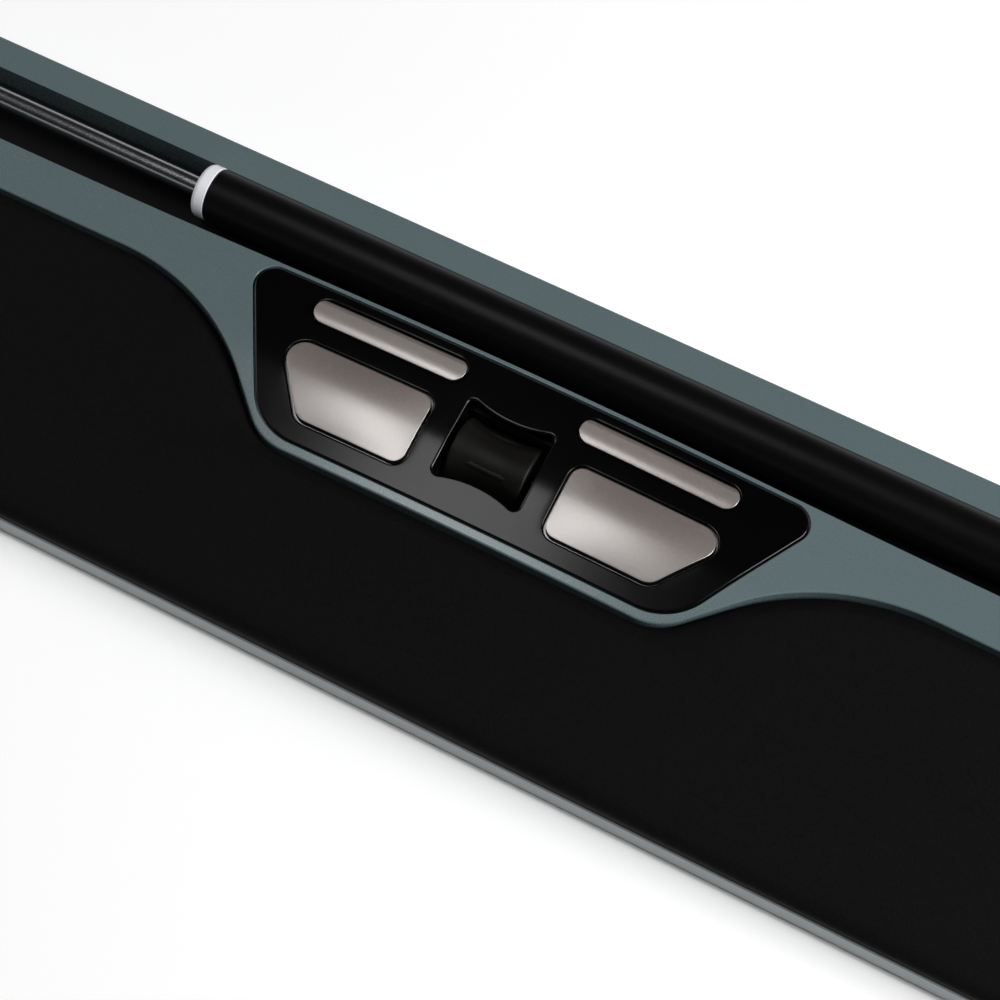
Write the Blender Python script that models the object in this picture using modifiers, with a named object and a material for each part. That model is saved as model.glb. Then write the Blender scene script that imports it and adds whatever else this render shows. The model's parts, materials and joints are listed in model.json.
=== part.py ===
"""Roller-bar mouse with a wrist rest, in metres.

+X runs along the bar, -Y points at the user and +Z is up. The origin lies on the desk, below the
middle of the body.
"""

import math

import bmesh
import bpy
from mathutils import Matrix, Vector

for leftover in list(bpy.data.objects):
    bpy.data.objects.remove(leftover, do_unlink=True)

# Fits
FIT_GAP = 0.0003
RUN_GAP = 0.0003
MARGIN = 0.002

# Mesh fineness
ARC_ANGLE = math.radians(18)
ARC_CHORD = 0.004
CROWN_STEP = 0.016
CROWN_REACH = 0.144
NOSE_STEP = 0.0025
ROUND_SIDES = 28
SMALL_SIDES = 12
EDGE_STEPS = 3
WELD = 1e-6
FLAT_ANGLE = math.radians(0.1)
CORNER_ANGLE = math.radians(60)
SMOOTH_ANGLE = math.radians(35)

# Body, front to back
BODY_LENGTH = 0.480
BODY_CORNER = 0.016
REST_DEPTH = 0.0440
RIM_WIDTH = 0.0023
POCKET_DEPTH = 0.0400
LIP_WIDTH = 0.0010
FINGER_GAP = 0.0040
ROLLER_RADIUS = 0.0070
BACK_GAP = 0.0010
STRIP_WIDTH = 0.0081
WING_WIDTH = 0.0124

# Lower housing
FOOT_LIFT = 0.0010
BASE_FLOOR = 0.0020
TRAY_HEIGHT = 0.0093
TRAY_WALL = 0.0012

# Upper housing
SHELL_WALL = 0.0020
DECK_SKIN = 0.0034
DECK_ROUND = 0.0016
STRIP_HEIGHT = 0.0134
STRIP_SKIN = 0.0022
END_WIDTH = 0.0240
CROWN_DROP = 0.0050
CROWN_RADIUS = 0.926
NOSE_START = 0.0237
NOSE_SLOPE = 0.145
NOSE_BEND = 0.0050
LEDGE = 0.0010
RIM_CORNER_INSET = 0.0024
RIM_WING_STEP = 0.0058
RIM_FRONT_RADIUS = 0.015
RIM_WING_RADIUS = 0.062

# Control panel
POCKET_REAR_WIDTH = 0.1556
POCKET_FRONT_WIDTH = 0.1092
POCKET_REAR_RADIUS = 0.0052
POCKET_FRONT_RADIUS = 0.0160
PANEL_GAP = 0.0005
PANEL_THICKNESS = 0.0016

# Buttons
BUTTON_GAP = 0.0006
BUTTON_TRAVEL = 0.0006
BUTTON_FLANGE = 0.0009
FLANGE_THICKNESS = 0.0014
BUTTON_STEM_RADIUS = 0.0020
BAR_DEPTH = 0.00615
BAR_LENGTH = 0.0408
BAR_SPACING = 0.0308
BAR_PROUD = 0.0008
BAR_ROUND = 0.0018
BAR_TO_CLICK = 0.00575
CLICK_BORDER = 0.0058
CLICK_REAR_INSET = 0.0167
CLICK_FRONT_INSET = 0.0080
CLICK_TO_WHEEL = 0.0070
CLICK_REAR_RADIUS = 0.0045
CLICK_FRONT_RADIUS = 0.0050
CLICK_INNER_RADIUS = 0.0033
CLICK_PROUD = 0.0003
CLICK_DOME = 0.0007
CLICK_ROUND = 0.0007

# Scroll wheel
WHEEL_SETBACK = 0.02165
WHEEL_HALF_WIDTH = 0.0097
WHEEL_MID_RADIUS = 0.0070
WHEEL_END_RADIUS = 0.0086
WHEEL_EDGE = 0.0008
WHEEL_GAP = 0.0017
WHEEL_CORNER = 0.0015
WHEEL_PROUD = 0.0012
WHEEL_TRAVEL = 0.0006
WHEEL_FLOOR_GAP = 0.0004
RIB_COUNT = 4
RIB_LEAN = math.radians(7)
RIB_CREST = 0.00745
RIB_RADIUS = 0.0009
RIB_LENGTH = 0.0140
AXLE_RADIUS = 0.0015
ARM_THICKNESS = 0.0016
ARM_REACH = 0.0040
ARM_HEIGHT = 0.0060
YOKE_DEPTH = 0.0024
YOKE_HEIGHT = 0.0032
YOKE_GAP = 0.0008
ENCODER_LENGTH = 0.0040
GUIDE_DEPTH = 0.0020

# Circuit board
BOARD_LENGTH = 0.104
BOARD_FRONT_GAP = 0.0039
BOARD_REAR_GAP = 0.0005
BOARD_HEIGHT = 0.0040
BOARD_THICKNESS = 0.0016
WINDOW_SIDE = 0.0008
SWITCH_SIZE = 0.0060
SWITCH_HEIGHT = 0.0035
PLUNGER_RADIUS = 0.0015
PLUNGER_HEIGHT = 0.0008
WHEEL_SWITCH_HEIGHT = 0.0027
WHEEL_SWITCH_SIZE = 0.0040
WHEEL_SWITCH_GAP = 0.0004
CHIP_SIZE = 0.0070
CHIP_HEIGHT = 0.0012
SENSOR_LENGTH = 0.0110
SENSOR_DEPTH = 0.0060
SENSOR_HEIGHT = 0.0046
WINDOW_LENGTH = 0.0080
WINDOW_HEIGHT = 0.0030
WINDOW_LIFT = 0.0001
BOARD_POST_INSET = 0.0050
POST_RADIUS = 0.0025

# Roller and its rail
FLOOR_THICKNESS = 0.0022
ROLLER_UNDER_GAP = 0.0015
ROLLER_TRAVEL = 0.0006
SLIDE_LEFT = 0.093
SLIDE_RIGHT = 0.020
RING_WIDTH = 0.0037
RING_EDGE = 0.0012
SLEEVE_WALL = 0.0015
RAIL_RADIUS = 0.0025
RING_CLEARANCE = 0.0006
BUMPER_WIDTH = 0.0029
BUMPER_RADIUS = 0.0050
CAP_LENGTH = 0.0200
CAP_FLOOR = 0.0012
HOLDER_SIZE = 0.0080
HOLDER_LENGTH = 0.0120
RAIL_SEAT = 0.0065
ROLLER_SWITCH_SIZE = 0.0050

# Wrist rest
REST_GAP = 0.0004
REST_BOARD = 0.0020
PAD_HEIGHT = 0.0180
PAD_ROUND = 0.0045
PAD_FALL = 0.0016
PAD_CROWN_SHARE = 0.5
PAD_STEP = 0.010

# Fasteners, feet and socket
SCREW_RADIUS = 0.0010
SCREW_HEAD_RADIUS = 0.0028
SCREW_HEAD_HEIGHT = 0.0009
SCREW_LENGTH = 0.0070
BOARD_SCREW_HEAD_RADIUS = 0.0020
BOARD_SCREW_HEAD_HEIGHT = 0.0012
BOARD_SCREW_LENGTH = 0.0040
BOSS_RADIUS = 0.0030
BOSS_TO_GROOVE = 0.0069
BOSS_INNER_X = 0.080
BOSS_MIDDLE_X = 0.150
BOSS_END_INSET = 0.015
FOOT_LENGTH = 0.024
FOOT_WIDTH = 0.008
FOOT_CORNER = 0.0027
FOOT_INSET = 0.009
FOOT_END_INSET = 0.040
SOCKET_X = -0.150
SOCKET_WIDTH = 0.0090
SOCKET_HEIGHT = 0.0032
SOCKET_DEPTH = 0.0056
SOCKET_WALL = 0.0004
SOCKET_LIFT = 0.0030

# Places that follow from the sizes above
HALF_LENGTH = BODY_LENGTH / 2
GROOVE_WIDTH = FINGER_GAP + 2 * ROLLER_RADIUS + BACK_GAP
BODY_DEPTH = REST_DEPTH + RIM_WIDTH + POCKET_DEPTH + LIP_WIDTH + GROOVE_WIDTH + STRIP_WIDTH
REAR_Y = BODY_DEPTH / 2
FRONT_Y = -REAR_Y
GROOVE_REAR = REAR_Y - STRIP_WIDTH
GROOVE_FRONT = GROOVE_REAR - GROOVE_WIDTH
ROLLER_Y = GROOVE_REAR - BACK_GAP - ROLLER_RADIUS
POCKET_REAR = GROOVE_FRONT - LIP_WIDTH
POCKET_FRONT = POCKET_REAR - POCKET_DEPTH
RIM_FRONT = POCKET_FRONT - RIM_WIDTH
WING_FRONT = GROOVE_FRONT - WING_WIDTH
GROOVE_END = HALF_LENGTH - END_WIDTH
FLOOR_TOP = FOOT_LIFT + BASE_FLOOR
TRAY_TOP = FOOT_LIFT + TRAY_HEIGHT
SHELL_FOOT = FLOOR_TOP + FIT_GAP
DECK_TOP = FLOOR_TOP + WHEEL_FLOOR_GAP + WHEEL_TRAVEL + 2 * WHEEL_END_RADIUS - WHEEL_PROUD
CEILING = DECK_TOP - DECK_SKIN
BEND_LEVEL = CEILING - FIT_GAP
NOSE_Y = POCKET_REAR - NOSE_START
PANEL_BOTTOM = DECK_TOP - PANEL_THICKNESS
FLANGE_TOP = PANEL_BOTTOM - FIT_GAP
FLANGE_BOTTOM = FLANGE_TOP - FLANGE_THICKNESS
WHEEL_Y = POCKET_REAR - WHEEL_SETBACK
WHEEL_Z = DECK_TOP + WHEEL_PROUD - WHEEL_END_RADIUS
WHEEL_CENTRE = Vector((0, WHEEL_Y, WHEEL_Z))
ARM_INNER = WHEEL_HALF_WIDTH + WHEEL_GAP + FIT_GAP
ARM_OUTER = ARM_INNER + ARM_THICKNESS
YOKE_FRONT = WHEEL_Y + WHEEL_END_RADIUS + YOKE_GAP
YOKE_REAR = YOKE_FRONT + YOKE_DEPTH
ARM_BOTTOM = WHEEL_Z - ARM_HEIGHT / 2
ARM_TOP = WHEEL_Z + ARM_HEIGHT / 2
BOARD_BOTTOM = FLOOR_TOP + BOARD_HEIGHT
BOARD_TOP = BOARD_BOTTOM + BOARD_THICKNESS
BOARD_FRONT = POCKET_FRONT + BOARD_FRONT_GAP
BOARD_REAR = GROOVE_FRONT - SHELL_WALL - BOARD_REAR_GAP
CHIP_SEAT = BOARD_TOP + FIT_GAP
PLUNGER_TOP = CHIP_SEAT + SWITCH_HEIGHT + PLUNGER_HEIGHT
STEM_BOTTOM = PLUNGER_TOP + BUTTON_TRAVEL + RUN_GAP
GROOVE_BOTTOM = SHELL_FOOT + FLOOR_THICKNESS
ROLLER_Z = GROOVE_BOTTOM + ROLLER_UNDER_GAP + ROLLER_RADIUS
CAP_INNER = GROOVE_END - FIT_GAP - CAP_LENGTH
BUMPER_INNER = CAP_INNER - FIT_GAP - BUMPER_WIDTH
SLEEVE_LEFT = -BUMPER_INNER + RUN_GAP + SLIDE_LEFT
SLEEVE_RIGHT = BUMPER_INNER - RUN_GAP - SLIDE_RIGHT
ROLLER_CENTRE = Vector(((SLEEVE_LEFT + SLEEVE_RIGHT) / 2, ROLLER_Y, ROLLER_Z))
HOLDER_INNER = CAP_INNER + FIT_GAP
PAD_BOTTOM = SHELL_FOOT + REST_BOARD + FIT_GAP

parts = bpy.data.collections.new("roller_bar_mouse")
cutters = bpy.data.collections.new("cutters")
bpy.context.scene.collection.children.link(parts)
bpy.context.scene.collection.children.link(cutters)


def offset(corners, distance):
    """Move every side of a counter-clockwise outline outwards and keep its fillets concentric."""
    moved = []
    for index, (x, y, radius) in enumerate(corners):
        here = Vector((x, y))
        before = Vector(corners[index - 1][:2])
        after = Vector(corners[(index + 1) % len(corners)][:2])
        incoming = (here - before).normalized()
        outgoing = (after - here).normalized()
        turn = math.atan2(incoming.cross(outgoing), incoming.dot(outgoing))
        outwards = Vector((incoming.y, -incoming.x))
        corner = here + (outwards + incoming * math.tan(turn / 2)) * distance
        fillet = max(0, radius + math.copysign(distance, turn)) if radius else 0
        moved.append((corner.x, corner.y, fillet))
    return moved


def rounded(corners):
    """Points of a counter-clockwise outline whose corners (x, y, radius) become arcs."""
    count = len(corners)
    places = [Vector(corner[:2]) for corner in corners]
    turns = []
    tangents = []
    for index, (_, _, radius) in enumerate(corners):
        incoming = (places[index] - places[index - 1]).normalized()
        outgoing = (places[(index + 1) % count] - places[index]).normalized()
        turn = math.atan2(incoming.cross(outgoing), incoming.dot(outgoing))
        turns.append(turn)
        tangents.append(radius * math.tan(abs(turn) / 2))
    points = []
    for index, here in enumerate(places):
        before = index - 1
        after = (index + 1) % count
        tangent = tangents[index]
        if tangent < WELD:
            points.append(here)
            continue
        for other in (before, after):
            share = tangents[index] / (tangents[index] + tangents[other])
            tangent = min(tangent, share * (here - places[other]).length)
        turn = turns[index]
        incoming = (here - places[before]).normalized()
        radius = tangent / math.tan(abs(turn) / 2)
        start = here - incoming * tangent
        centre = start + Vector((-incoming.y, incoming.x)) * math.copysign(radius, turn)
        by_angle = math.ceil(abs(turn) / ARC_ANGLE)
        by_chord = math.ceil(radius * abs(turn) / ARC_CHORD)
        steps = max(2, by_angle, by_chord)
        for step in range(steps + 1):
            arm = start - centre
            arm.rotate(Matrix.Rotation(turn * step / steps, 2))
            points.append(centre + arm)
    return points


def rectangle(left, right, front, rear, radius=0):
    """Corners of an upright rectangle."""
    return [(left, front, radius), (right, front, radius), (right, rear, radius), (left, rear, radius)]


def circle(x, y, radius, sides=SMALL_SIDES):
    """Points of a round hole."""
    angles = [2 * math.pi * side / sides for side in range(sides)]
    return [Vector((x + radius * math.cos(angle), y + radius * math.sin(angle))) for angle in angles]


def mirrored(corners, side):
    """The right-hand outline for side 1, and its mirror image for side -1."""
    if side > 0:
        return corners
    return [(-x, y, radius) for x, y, radius in reversed(corners)]


def place(name, mesh):
    """Add a mesh as an object that can be cut, joined or finished."""
    obj = bpy.data.objects.new(name, mesh)
    cutters.objects.link(obj)
    obj.hide_render = True
    obj.display_type = 'WIRE'
    return obj


def evaluated_mesh(obj):
    """An object's mesh with its modifiers or its curve settings worked in."""
    bpy.context.view_layer.update()
    depsgraph = bpy.context.evaluated_depsgraph_get()
    return bpy.data.meshes.new_from_object(obj.evaluated_get(depsgraph))


def clean(mesh):
    """Weld a mesh and let each flat stretch be one face."""
    bm = bmesh.new()
    bm.from_mesh(mesh)
    bmesh.ops.remove_doubles(bm, verts=bm.verts, dist=WELD)
    bmesh.ops.dissolve_limit(bm, angle_limit=FLAT_ANGLE, verts=bm.verts, edges=bm.edges)
    bm.to_mesh(mesh)
    bm.free()


def slab(name, outlines, low, high):
    """A flat piece between two heights; every outline after the first is a hole."""
    curve = bpy.data.curves.new(name, 'CURVE')
    curve.dimensions = '2D'
    curve.fill_mode = 'BOTH'
    curve.extrude = (high - low) / 2
    for outline in outlines:
        spline = curve.splines.new('POLY')
        spline.points.add(len(outline) - 1)
        for point, (x, y) in zip(spline.points, outline):
            point.co = (x, y, 0, 1)
        spline.use_cyclic_u = True
    guide = place(name + "_outline", curve)
    mesh = evaluated_mesh(guide)
    bpy.data.objects.remove(guide)
    mesh.transform(Matrix.Translation((0, 0, (low + high) / 2)))
    clean(mesh)
    return place(name, mesh)


def block(name, low, high):
    """A box between two opposite corners."""
    mesh = bpy.data.meshes.new(name)
    size = Vector(high) - Vector(low)
    middle = (Vector(high) + Vector(low)) / 2
    bm = bmesh.new()
    bmesh.ops.create_cube(bm, size=1, matrix=Matrix.Translation(middle) @ Matrix.Diagonal((*size, 1)))
    bm.to_mesh(mesh)
    bm.free()
    return place(name, mesh)


def rod(name, start, end, radius, sides=SMALL_SIDES):
    """A round bar between two points."""
    start = Vector(start)
    along = Vector(end) - start
    turn = along.to_track_quat('Z', 'Y').to_matrix().to_4x4()
    mesh = bpy.data.meshes.new(name)
    bm = bmesh.new()
    bmesh.ops.create_cone(
        bm, cap_ends=True, segments=sides, radius1=radius, radius2=radius, depth=along.length,
        matrix=Matrix.Translation(start + along / 2) @ turn,
    )
    bm.to_mesh(mesh)
    bm.free()
    return place(name, mesh)


def turned(name, profile, bored, sides=ROUND_SIDES):
    """A shape turned about Z from (radius, height) points that run down its outer side."""
    mesh = bpy.data.meshes.new(name)
    edges = [(index, index + 1) for index in range(len(profile) - 1)]
    if bored:
        edges.append((len(profile) - 1, 0))
    mesh.from_pydata([(radius, 0, height) for radius, height in profile], edges, [])
    guide = place(name + "_profile", mesh)
    screw = guide.modifiers.new("turn", 'SCREW')
    screw.axis = 'Z'
    screw.angle = 2 * math.pi
    screw.steps = sides
    screw.render_steps = sides
    screw.use_merge_vertices = True
    screw.merge_threshold = WELD
    solid = evaluated_mesh(guide)
    bpy.data.objects.remove(guide)
    return place(name, solid)


def combine(obj, tools, operation):
    """Cut an object with other objects, or join them to it."""
    for tool in tools:
        modifier = obj.modifiers.new(operation.lower(), 'BOOLEAN')
        modifier.operation = operation
        modifier.solver = 'EXACT'
        modifier.object = tool
    mesh = evaluated_mesh(obj)
    obj.modifiers.clear()
    obj.data = mesh
    for tool in tools:
        bpy.data.objects.remove(tool)
    clean(obj.data)


def cut(obj, *tools):
    """Take other objects out of an object."""
    combine(obj, tools, 'DIFFERENCE')


def join(obj, *tools):
    """Make other objects one body with an object."""
    combine(obj, tools, 'UNION')


def round_edges(obj, width, picked):
    """Round the edges whose two ends satisfy a test."""
    bm = bmesh.new()
    bm.from_mesh(obj.data)
    edges = [edge for edge in bm.edges if all(picked(vert.co) for vert in edge.verts)]
    edges = [edge for edge in edges if edge.calc_face_angle(0) > CORNER_ANGLE]
    bmesh.ops.bevel(bm, geom=edges, offset=width, segments=EDGE_STEPS, profile=0.5, affect='EDGES')
    bm.to_mesh(obj.data)
    bm.free()


def at_height(height):
    """A test for points at one height."""
    return lambda point: abs(point.z - height) < 10 * WELD


def shape_top(obj, x_cuts, y_cuts, lift):
    """Slice a piece along X and Y, then raise each point by lift(point)."""
    bm = bmesh.new()
    bm.from_mesh(obj.data)
    planes = [((x, 0, 0), (1, 0, 0)) for x in x_cuts] + [((0, y, 0), (0, 1, 0)) for y in y_cuts]
    for point, normal in planes:
        whole = bm.verts[:] + bm.edges[:] + bm.faces[:]
        bmesh.ops.bisect_plane(bm, geom=whole, dist=WELD, plane_co=point, plane_no=normal)
    for vert in bm.verts:
        vert.co.z += lift(vert.co)
    bm.to_mesh(obj.data)
    bm.free()


def steps_between(low, high, step):
    """Multiples of a step that lie inside a range."""
    first = math.ceil(low / step)
    last = math.floor(high / step)
    return [step * index for index in range(first, last + 1)]


def crown(x):
    """How far the deck lies below its middle, towards the two ends."""
    return CROWN_DROP * math.tanh(x * x / (2 * CROWN_RADIUS * CROWN_DROP))


def nose(y):
    """How far the deck has fallen towards its front: level, then a short bend, then a slope."""
    past = NOSE_Y - y
    bend = min(max(past + NOSE_BEND, 0), 2 * NOSE_BEND)
    return NOSE_SLOPE * (bend * bend / (4 * NOSE_BEND) + max(past - NOSE_BEND, 0))


def deck_lift(point):
    """Change of height that lays a flat deck piece onto the crown and the nose."""
    if point.z < BEND_LEVEL:
        return 0
    return -crown(point.x) - nose(point.y)


def drape(obj):
    """Lay a piece of the deck onto its crown and nose."""
    x_cuts = steps_between(-CROWN_REACH, CROWN_REACH, CROWN_STEP)
    y_cuts = [NOSE_Y - step for step in steps_between(-NOSE_BEND, NOSE_BEND, NOSE_STEP)]
    shape_top(obj, x_cuts, y_cuts, deck_lift)


def finish(obj, colour, roughness, metallic=0.0, origin=(0, 0, 0)):
    """Give a piece its material and its origin, and put it with the parts."""
    material = bpy.data.materials.new(obj.name)
    material.use_nodes = True
    shader = material.node_tree.nodes["Principled BSDF"]
    shader.inputs["Base Color"].default_value = (*colour, 1)
    shader.inputs["Roughness"].default_value = roughness
    shader.inputs["Metallic"].default_value = metallic
    obj.data.materials.clear()
    obj.data.materials.append(material)
    obj.data.transform(Matrix.Translation(-Vector(origin)))
    obj.location = origin
    obj.data.shade_smooth()
    obj.data.set_sharp_from_angle(angle=SMOOTH_ANGLE)
    cutters.objects.unlink(obj)
    parts.objects.link(obj)
    obj.hide_render = False
    obj.display_type = 'TEXTURED'


# Colours of the finishes, as linear values
HOUSING_GREY = (0.098, 0.136, 0.144)
PANEL_BLACK = (0.010, 0.010, 0.010)
BUTTON_SILVER = (0.30, 0.27, 0.25)
PAD_BLACK = (0.012, 0.012, 0.012)
ROLLER_BLACK = (0.014, 0.014, 0.015)
INNER_BLACK = (0.020, 0.020, 0.022)
RING_GREY = (0.45, 0.47, 0.51)
STEEL = (0.55, 0.56, 0.58)
BOARD_GREEN = (0.020, 0.110, 0.045)
RUBBER_BLACK = (0.025, 0.025, 0.025)

# Outlines
BODY = rectangle(-HALF_LENGTH, HALF_LENGTH, FRONT_Y, REAR_Y, BODY_CORNER)
RIM_FRONT_X = POCKET_FRONT_WIDTH / 2 - RIM_CORNER_INSET
RIM_WING_X = POCKET_REAR_WIDTH / 2 + RIM_WING_STEP
RIM = [
    (-HALF_LENGTH, WING_FRONT, 0),
    (-RIM_WING_X, WING_FRONT, RIM_WING_RADIUS),
    (-RIM_FRONT_X, RIM_FRONT, RIM_FRONT_RADIUS),
    (RIM_FRONT_X, RIM_FRONT, RIM_FRONT_RADIUS),
    (RIM_WING_X, WING_FRONT, RIM_WING_RADIUS),
    (HALF_LENGTH, WING_FRONT, 0),
]
UPPER = RIM + [(HALF_LENGTH, REAR_Y, BODY_CORNER), (-HALF_LENGTH, REAR_Y, BODY_CORNER)]
DECK = RIM + [(HALF_LENGTH, GROOVE_FRONT, 0), (-HALF_LENGTH, GROOVE_FRONT, 0)]
POCKET = [
    (-POCKET_FRONT_WIDTH / 2, POCKET_FRONT, POCKET_FRONT_RADIUS),
    (POCKET_FRONT_WIDTH / 2, POCKET_FRONT, POCKET_FRONT_RADIUS),
    (POCKET_REAR_WIDTH / 2, POCKET_REAR, POCKET_REAR_RADIUS),
    (-POCKET_REAR_WIDTH / 2, POCKET_REAR, POCKET_REAR_RADIUS),
]
BAR_REAR = POCKET_REAR - PANEL_GAP - LEDGE - RUN_GAP - BUTTON_FLANGE - BUTTON_GAP
BAR_FRONT = BAR_REAR - BAR_DEPTH
BAR_BUTTON = rectangle(BAR_SPACING / 2, BAR_SPACING / 2 + BAR_LENGTH, BAR_FRONT, BAR_REAR, BAR_DEPTH / 2)
CLICK_INNER = WHEEL_HALF_WIDTH + WHEEL_GAP + CLICK_TO_WHEEL
CLICK_FRONT = POCKET_FRONT + CLICK_BORDER
CLICK_REAR = BAR_FRONT - BAR_TO_CLICK
CLICK_BUTTON = [
    (CLICK_INNER, CLICK_FRONT, CLICK_INNER_RADIUS),
    (POCKET_FRONT_WIDTH / 2 - CLICK_FRONT_INSET, CLICK_FRONT, CLICK_FRONT_RADIUS),
    (POCKET_REAR_WIDTH / 2 - CLICK_REAR_INSET, CLICK_REAR, CLICK_REAR_RADIUS),
    (CLICK_INNER, CLICK_REAR, CLICK_INNER_RADIUS),
]
REST = [
    (-HALF_LENGTH, FRONT_Y, BODY_CORNER),
    (HALF_LENGTH, FRONT_Y, BODY_CORNER),
    *reversed(RIM),
]


def saddle(x):
    """Radius of the scroll wheel at a distance from its middle."""
    return WHEEL_MID_RADIUS + (WHEEL_END_RADIUS - WHEEL_MID_RADIUS) * (x / WHEEL_HALF_WIDTH) ** 2


def wheel_opening():
    """Hourglass outline that follows the wheel at a constant gap."""
    half = WHEEL_HALF_WIDTH + WHEEL_GAP
    stations = [half * (step / 4 - 1) for step in range(9)]
    front = [(x, WHEEL_Y - saddle(min(abs(x), WHEEL_HALF_WIDTH)) - WHEEL_GAP, 0) for x in stations]
    rear = [(x, 2 * WHEEL_Y - y, 0) for x, y, _ in reversed(front)]
    corners = front + rear
    for index in (0, 8, 9, 17):
        x, y, _ = corners[index]
        corners[index] = (x, y, WHEEL_CORNER)
    return corners


# Places of repeated pieces
BOSS_Y = GROOVE_FRONT - BOSS_TO_GROOVE
BOSS_X = (BOSS_INNER_X, BOSS_MIDDLE_X, HALF_LENGTH - BOSS_END_INSET)
BOSSES = [(side * x, BOSS_Y) for side in (-1, 1) for x in BOSS_X]
POST_X = BOARD_LENGTH / 2 - BOARD_POST_INSET
POST_YS = (BOARD_FRONT + BOARD_POST_INSET, BOARD_REAR - 2 * BOARD_POST_INSET)
POSTS = [(side * POST_X, y) for side in (-1, 1) for y in POST_YS]
SCREW_HOLE = SCREW_RADIUS + RUN_GAP


def middle_of(corners):
    """Centre of an outline's box."""
    xs = [corner[0] for corner in corners]
    ys = [corner[1] for corner in corners]
    return (min(xs) + max(xs)) / 2, (min(ys) + max(ys)) / 2


def make_lower_housing():
    """Tray that carries everything: a floor, the front wall, posts for the board and wheel guides."""
    tray = slab("lower_housing", [rounded(BODY)], FOOT_LIFT, FLOOR_TOP)
    wall_end = WING_FRONT - FIT_GAP
    inner_x = HALF_LENGTH - TRAY_WALL
    inner_front = FRONT_Y + TRAY_WALL
    inner_corner = BODY_CORNER - TRAY_WALL
    wall = slab(
        "wall",
        [rounded([
            (-HALF_LENGTH, wall_end, 0),
            (-HALF_LENGTH, FRONT_Y, BODY_CORNER),
            (HALF_LENGTH, FRONT_Y, BODY_CORNER),
            (HALF_LENGTH, wall_end, 0),
            (inner_x, wall_end, 0),
            (inner_x, inner_front, inner_corner),
            (-inner_x, inner_front, inner_corner),
            (-inner_x, wall_end, 0),
        ])],
        FOOT_LIFT + BASE_FLOOR / 2,
        TRAY_TOP,
    )
    join(tray, wall)
    foot = FLOOR_TOP - BASE_FLOOR / 2
    posts = [rod("post", (x, y, foot), (x, y, BOARD_BOTTOM - FIT_GAP), POST_RADIUS) for x, y in POSTS]
    guide_rear = WHEEL_Y - ARM_REACH - RUN_GAP
    guide_top = WHEEL_Z + ARM_HEIGHT / 4
    guides = []
    for side in (-1, 1):
        inner, outer = sorted((side * ARM_INNER, side * ARM_OUTER))
        low = (inner, guide_rear - GUIDE_DEPTH, foot)
        guides.append(block("guide", low, (outer, guide_rear, guide_top)))
    join(tray, *posts, *guides)
    holes = [rod("hole", (x, y, 0), (x, y, FLOOR_TOP + MARGIN), SCREW_HOLE) for x, y in BOSSES]
    sink = FOOT_LIFT + SCREW_HEAD_HEIGHT + FIT_GAP
    sinks = [rod("sink", (x, y, 0), (x, y, sink), SCREW_HEAD_RADIUS + FIT_GAP) for x, y in BOSSES]
    seats = [rod("seat", (x, y, FLOOR_TOP), (x, y, BOARD_TOP), SCREW_HOLE) for x, y in POSTS]
    cut(tray, *holes)
    cut(tray, *sinks)
    cut(tray, *seats)
    finish(tray, HOUSING_GREY, 0.45)


def make_upper_housing():
    """Grey shell: crowned deck with the panel's pocket, the groove for the bar and the rear strip."""
    shell = slab("upper_housing", [rounded(UPPER)], SHELL_FOOT, DECK_TOP)
    round_edges(shell, DECK_ROUND, at_height(DECK_TOP))
    below = SHELL_FOOT - MARGIN
    above = DECK_TOP + MARGIN
    wide = HALF_LENGTH + MARGIN
    step = block("step", (-wide, GROOVE_REAR, STRIP_HEIGHT), (wide, REAR_Y + MARGIN, above))
    cut(shell, step)
    deck_hollow = slab("deck_hollow", [rounded(offset(DECK, -SHELL_WALL))], below, CEILING)
    strip_end = HALF_LENGTH - BODY_CORNER - SHELL_WALL
    strip_hollow = block(
        "strip_hollow",
        (-strip_end, GROOVE_REAR + SHELL_WALL, below),
        (strip_end, REAR_Y - SHELL_WALL, STRIP_HEIGHT - STRIP_SKIN),
    )
    groove = block("groove", (-GROOVE_END, GROOVE_FRONT, below), (GROOVE_END, GROOVE_REAR, above))
    cut(shell, deck_hollow, strip_hollow, groove)
    pocket = slab("pocket", [rounded(POCKET)], PANEL_BOTTOM - FIT_GAP, above)
    opening = slab("opening", [rounded(offset(POCKET, -LEDGE - PANEL_GAP))], CEILING - MARGIN, above)
    cut(shell, pocket)
    cut(shell, opening)
    boss_top = CEILING + DECK_SKIN / 4
    bosses = [rod("boss", (x, y, SHELL_FOOT), (x, y, boss_top), BOSS_RADIUS) for x, y in BOSSES]
    join(shell, *bosses)
    reach = FOOT_LIFT + SCREW_LENGTH + SCREW_HEAD_HEIGHT + FIT_GAP + RUN_GAP
    holes = [rod("hole", (x, y, below), (x, y, reach), SCREW_HOLE) for x, y in BOSSES]
    cut(shell, *holes)
    window_low = CHIP_SEAT + WINDOW_LIFT - FIT_GAP
    window = block(
        "window",
        (-WINDOW_LENGTH / 2 - FIT_GAP, GROOVE_FRONT - SHELL_WALL - MARGIN, window_low),
        (WINDOW_LENGTH / 2 + FIT_GAP, GROOVE_FRONT + MARGIN, window_low + WINDOW_HEIGHT + 2 * FIT_GAP),
    )
    socket_low = SHELL_FOOT + SOCKET_LIFT - FIT_GAP
    socket = block(
        "socket",
        (SOCKET_X - SOCKET_WIDTH / 2 - FIT_GAP, REAR_Y - SHELL_WALL - MARGIN / 2, socket_low),
        (SOCKET_X + SOCKET_WIDTH / 2 + FIT_GAP, REAR_Y + MARGIN, socket_low + SOCKET_HEIGHT + 2 * FIT_GAP),
    )
    cut(shell, window, socket)
    drape(shell)
    finish(shell, HOUSING_GREY, 0.45)


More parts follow.
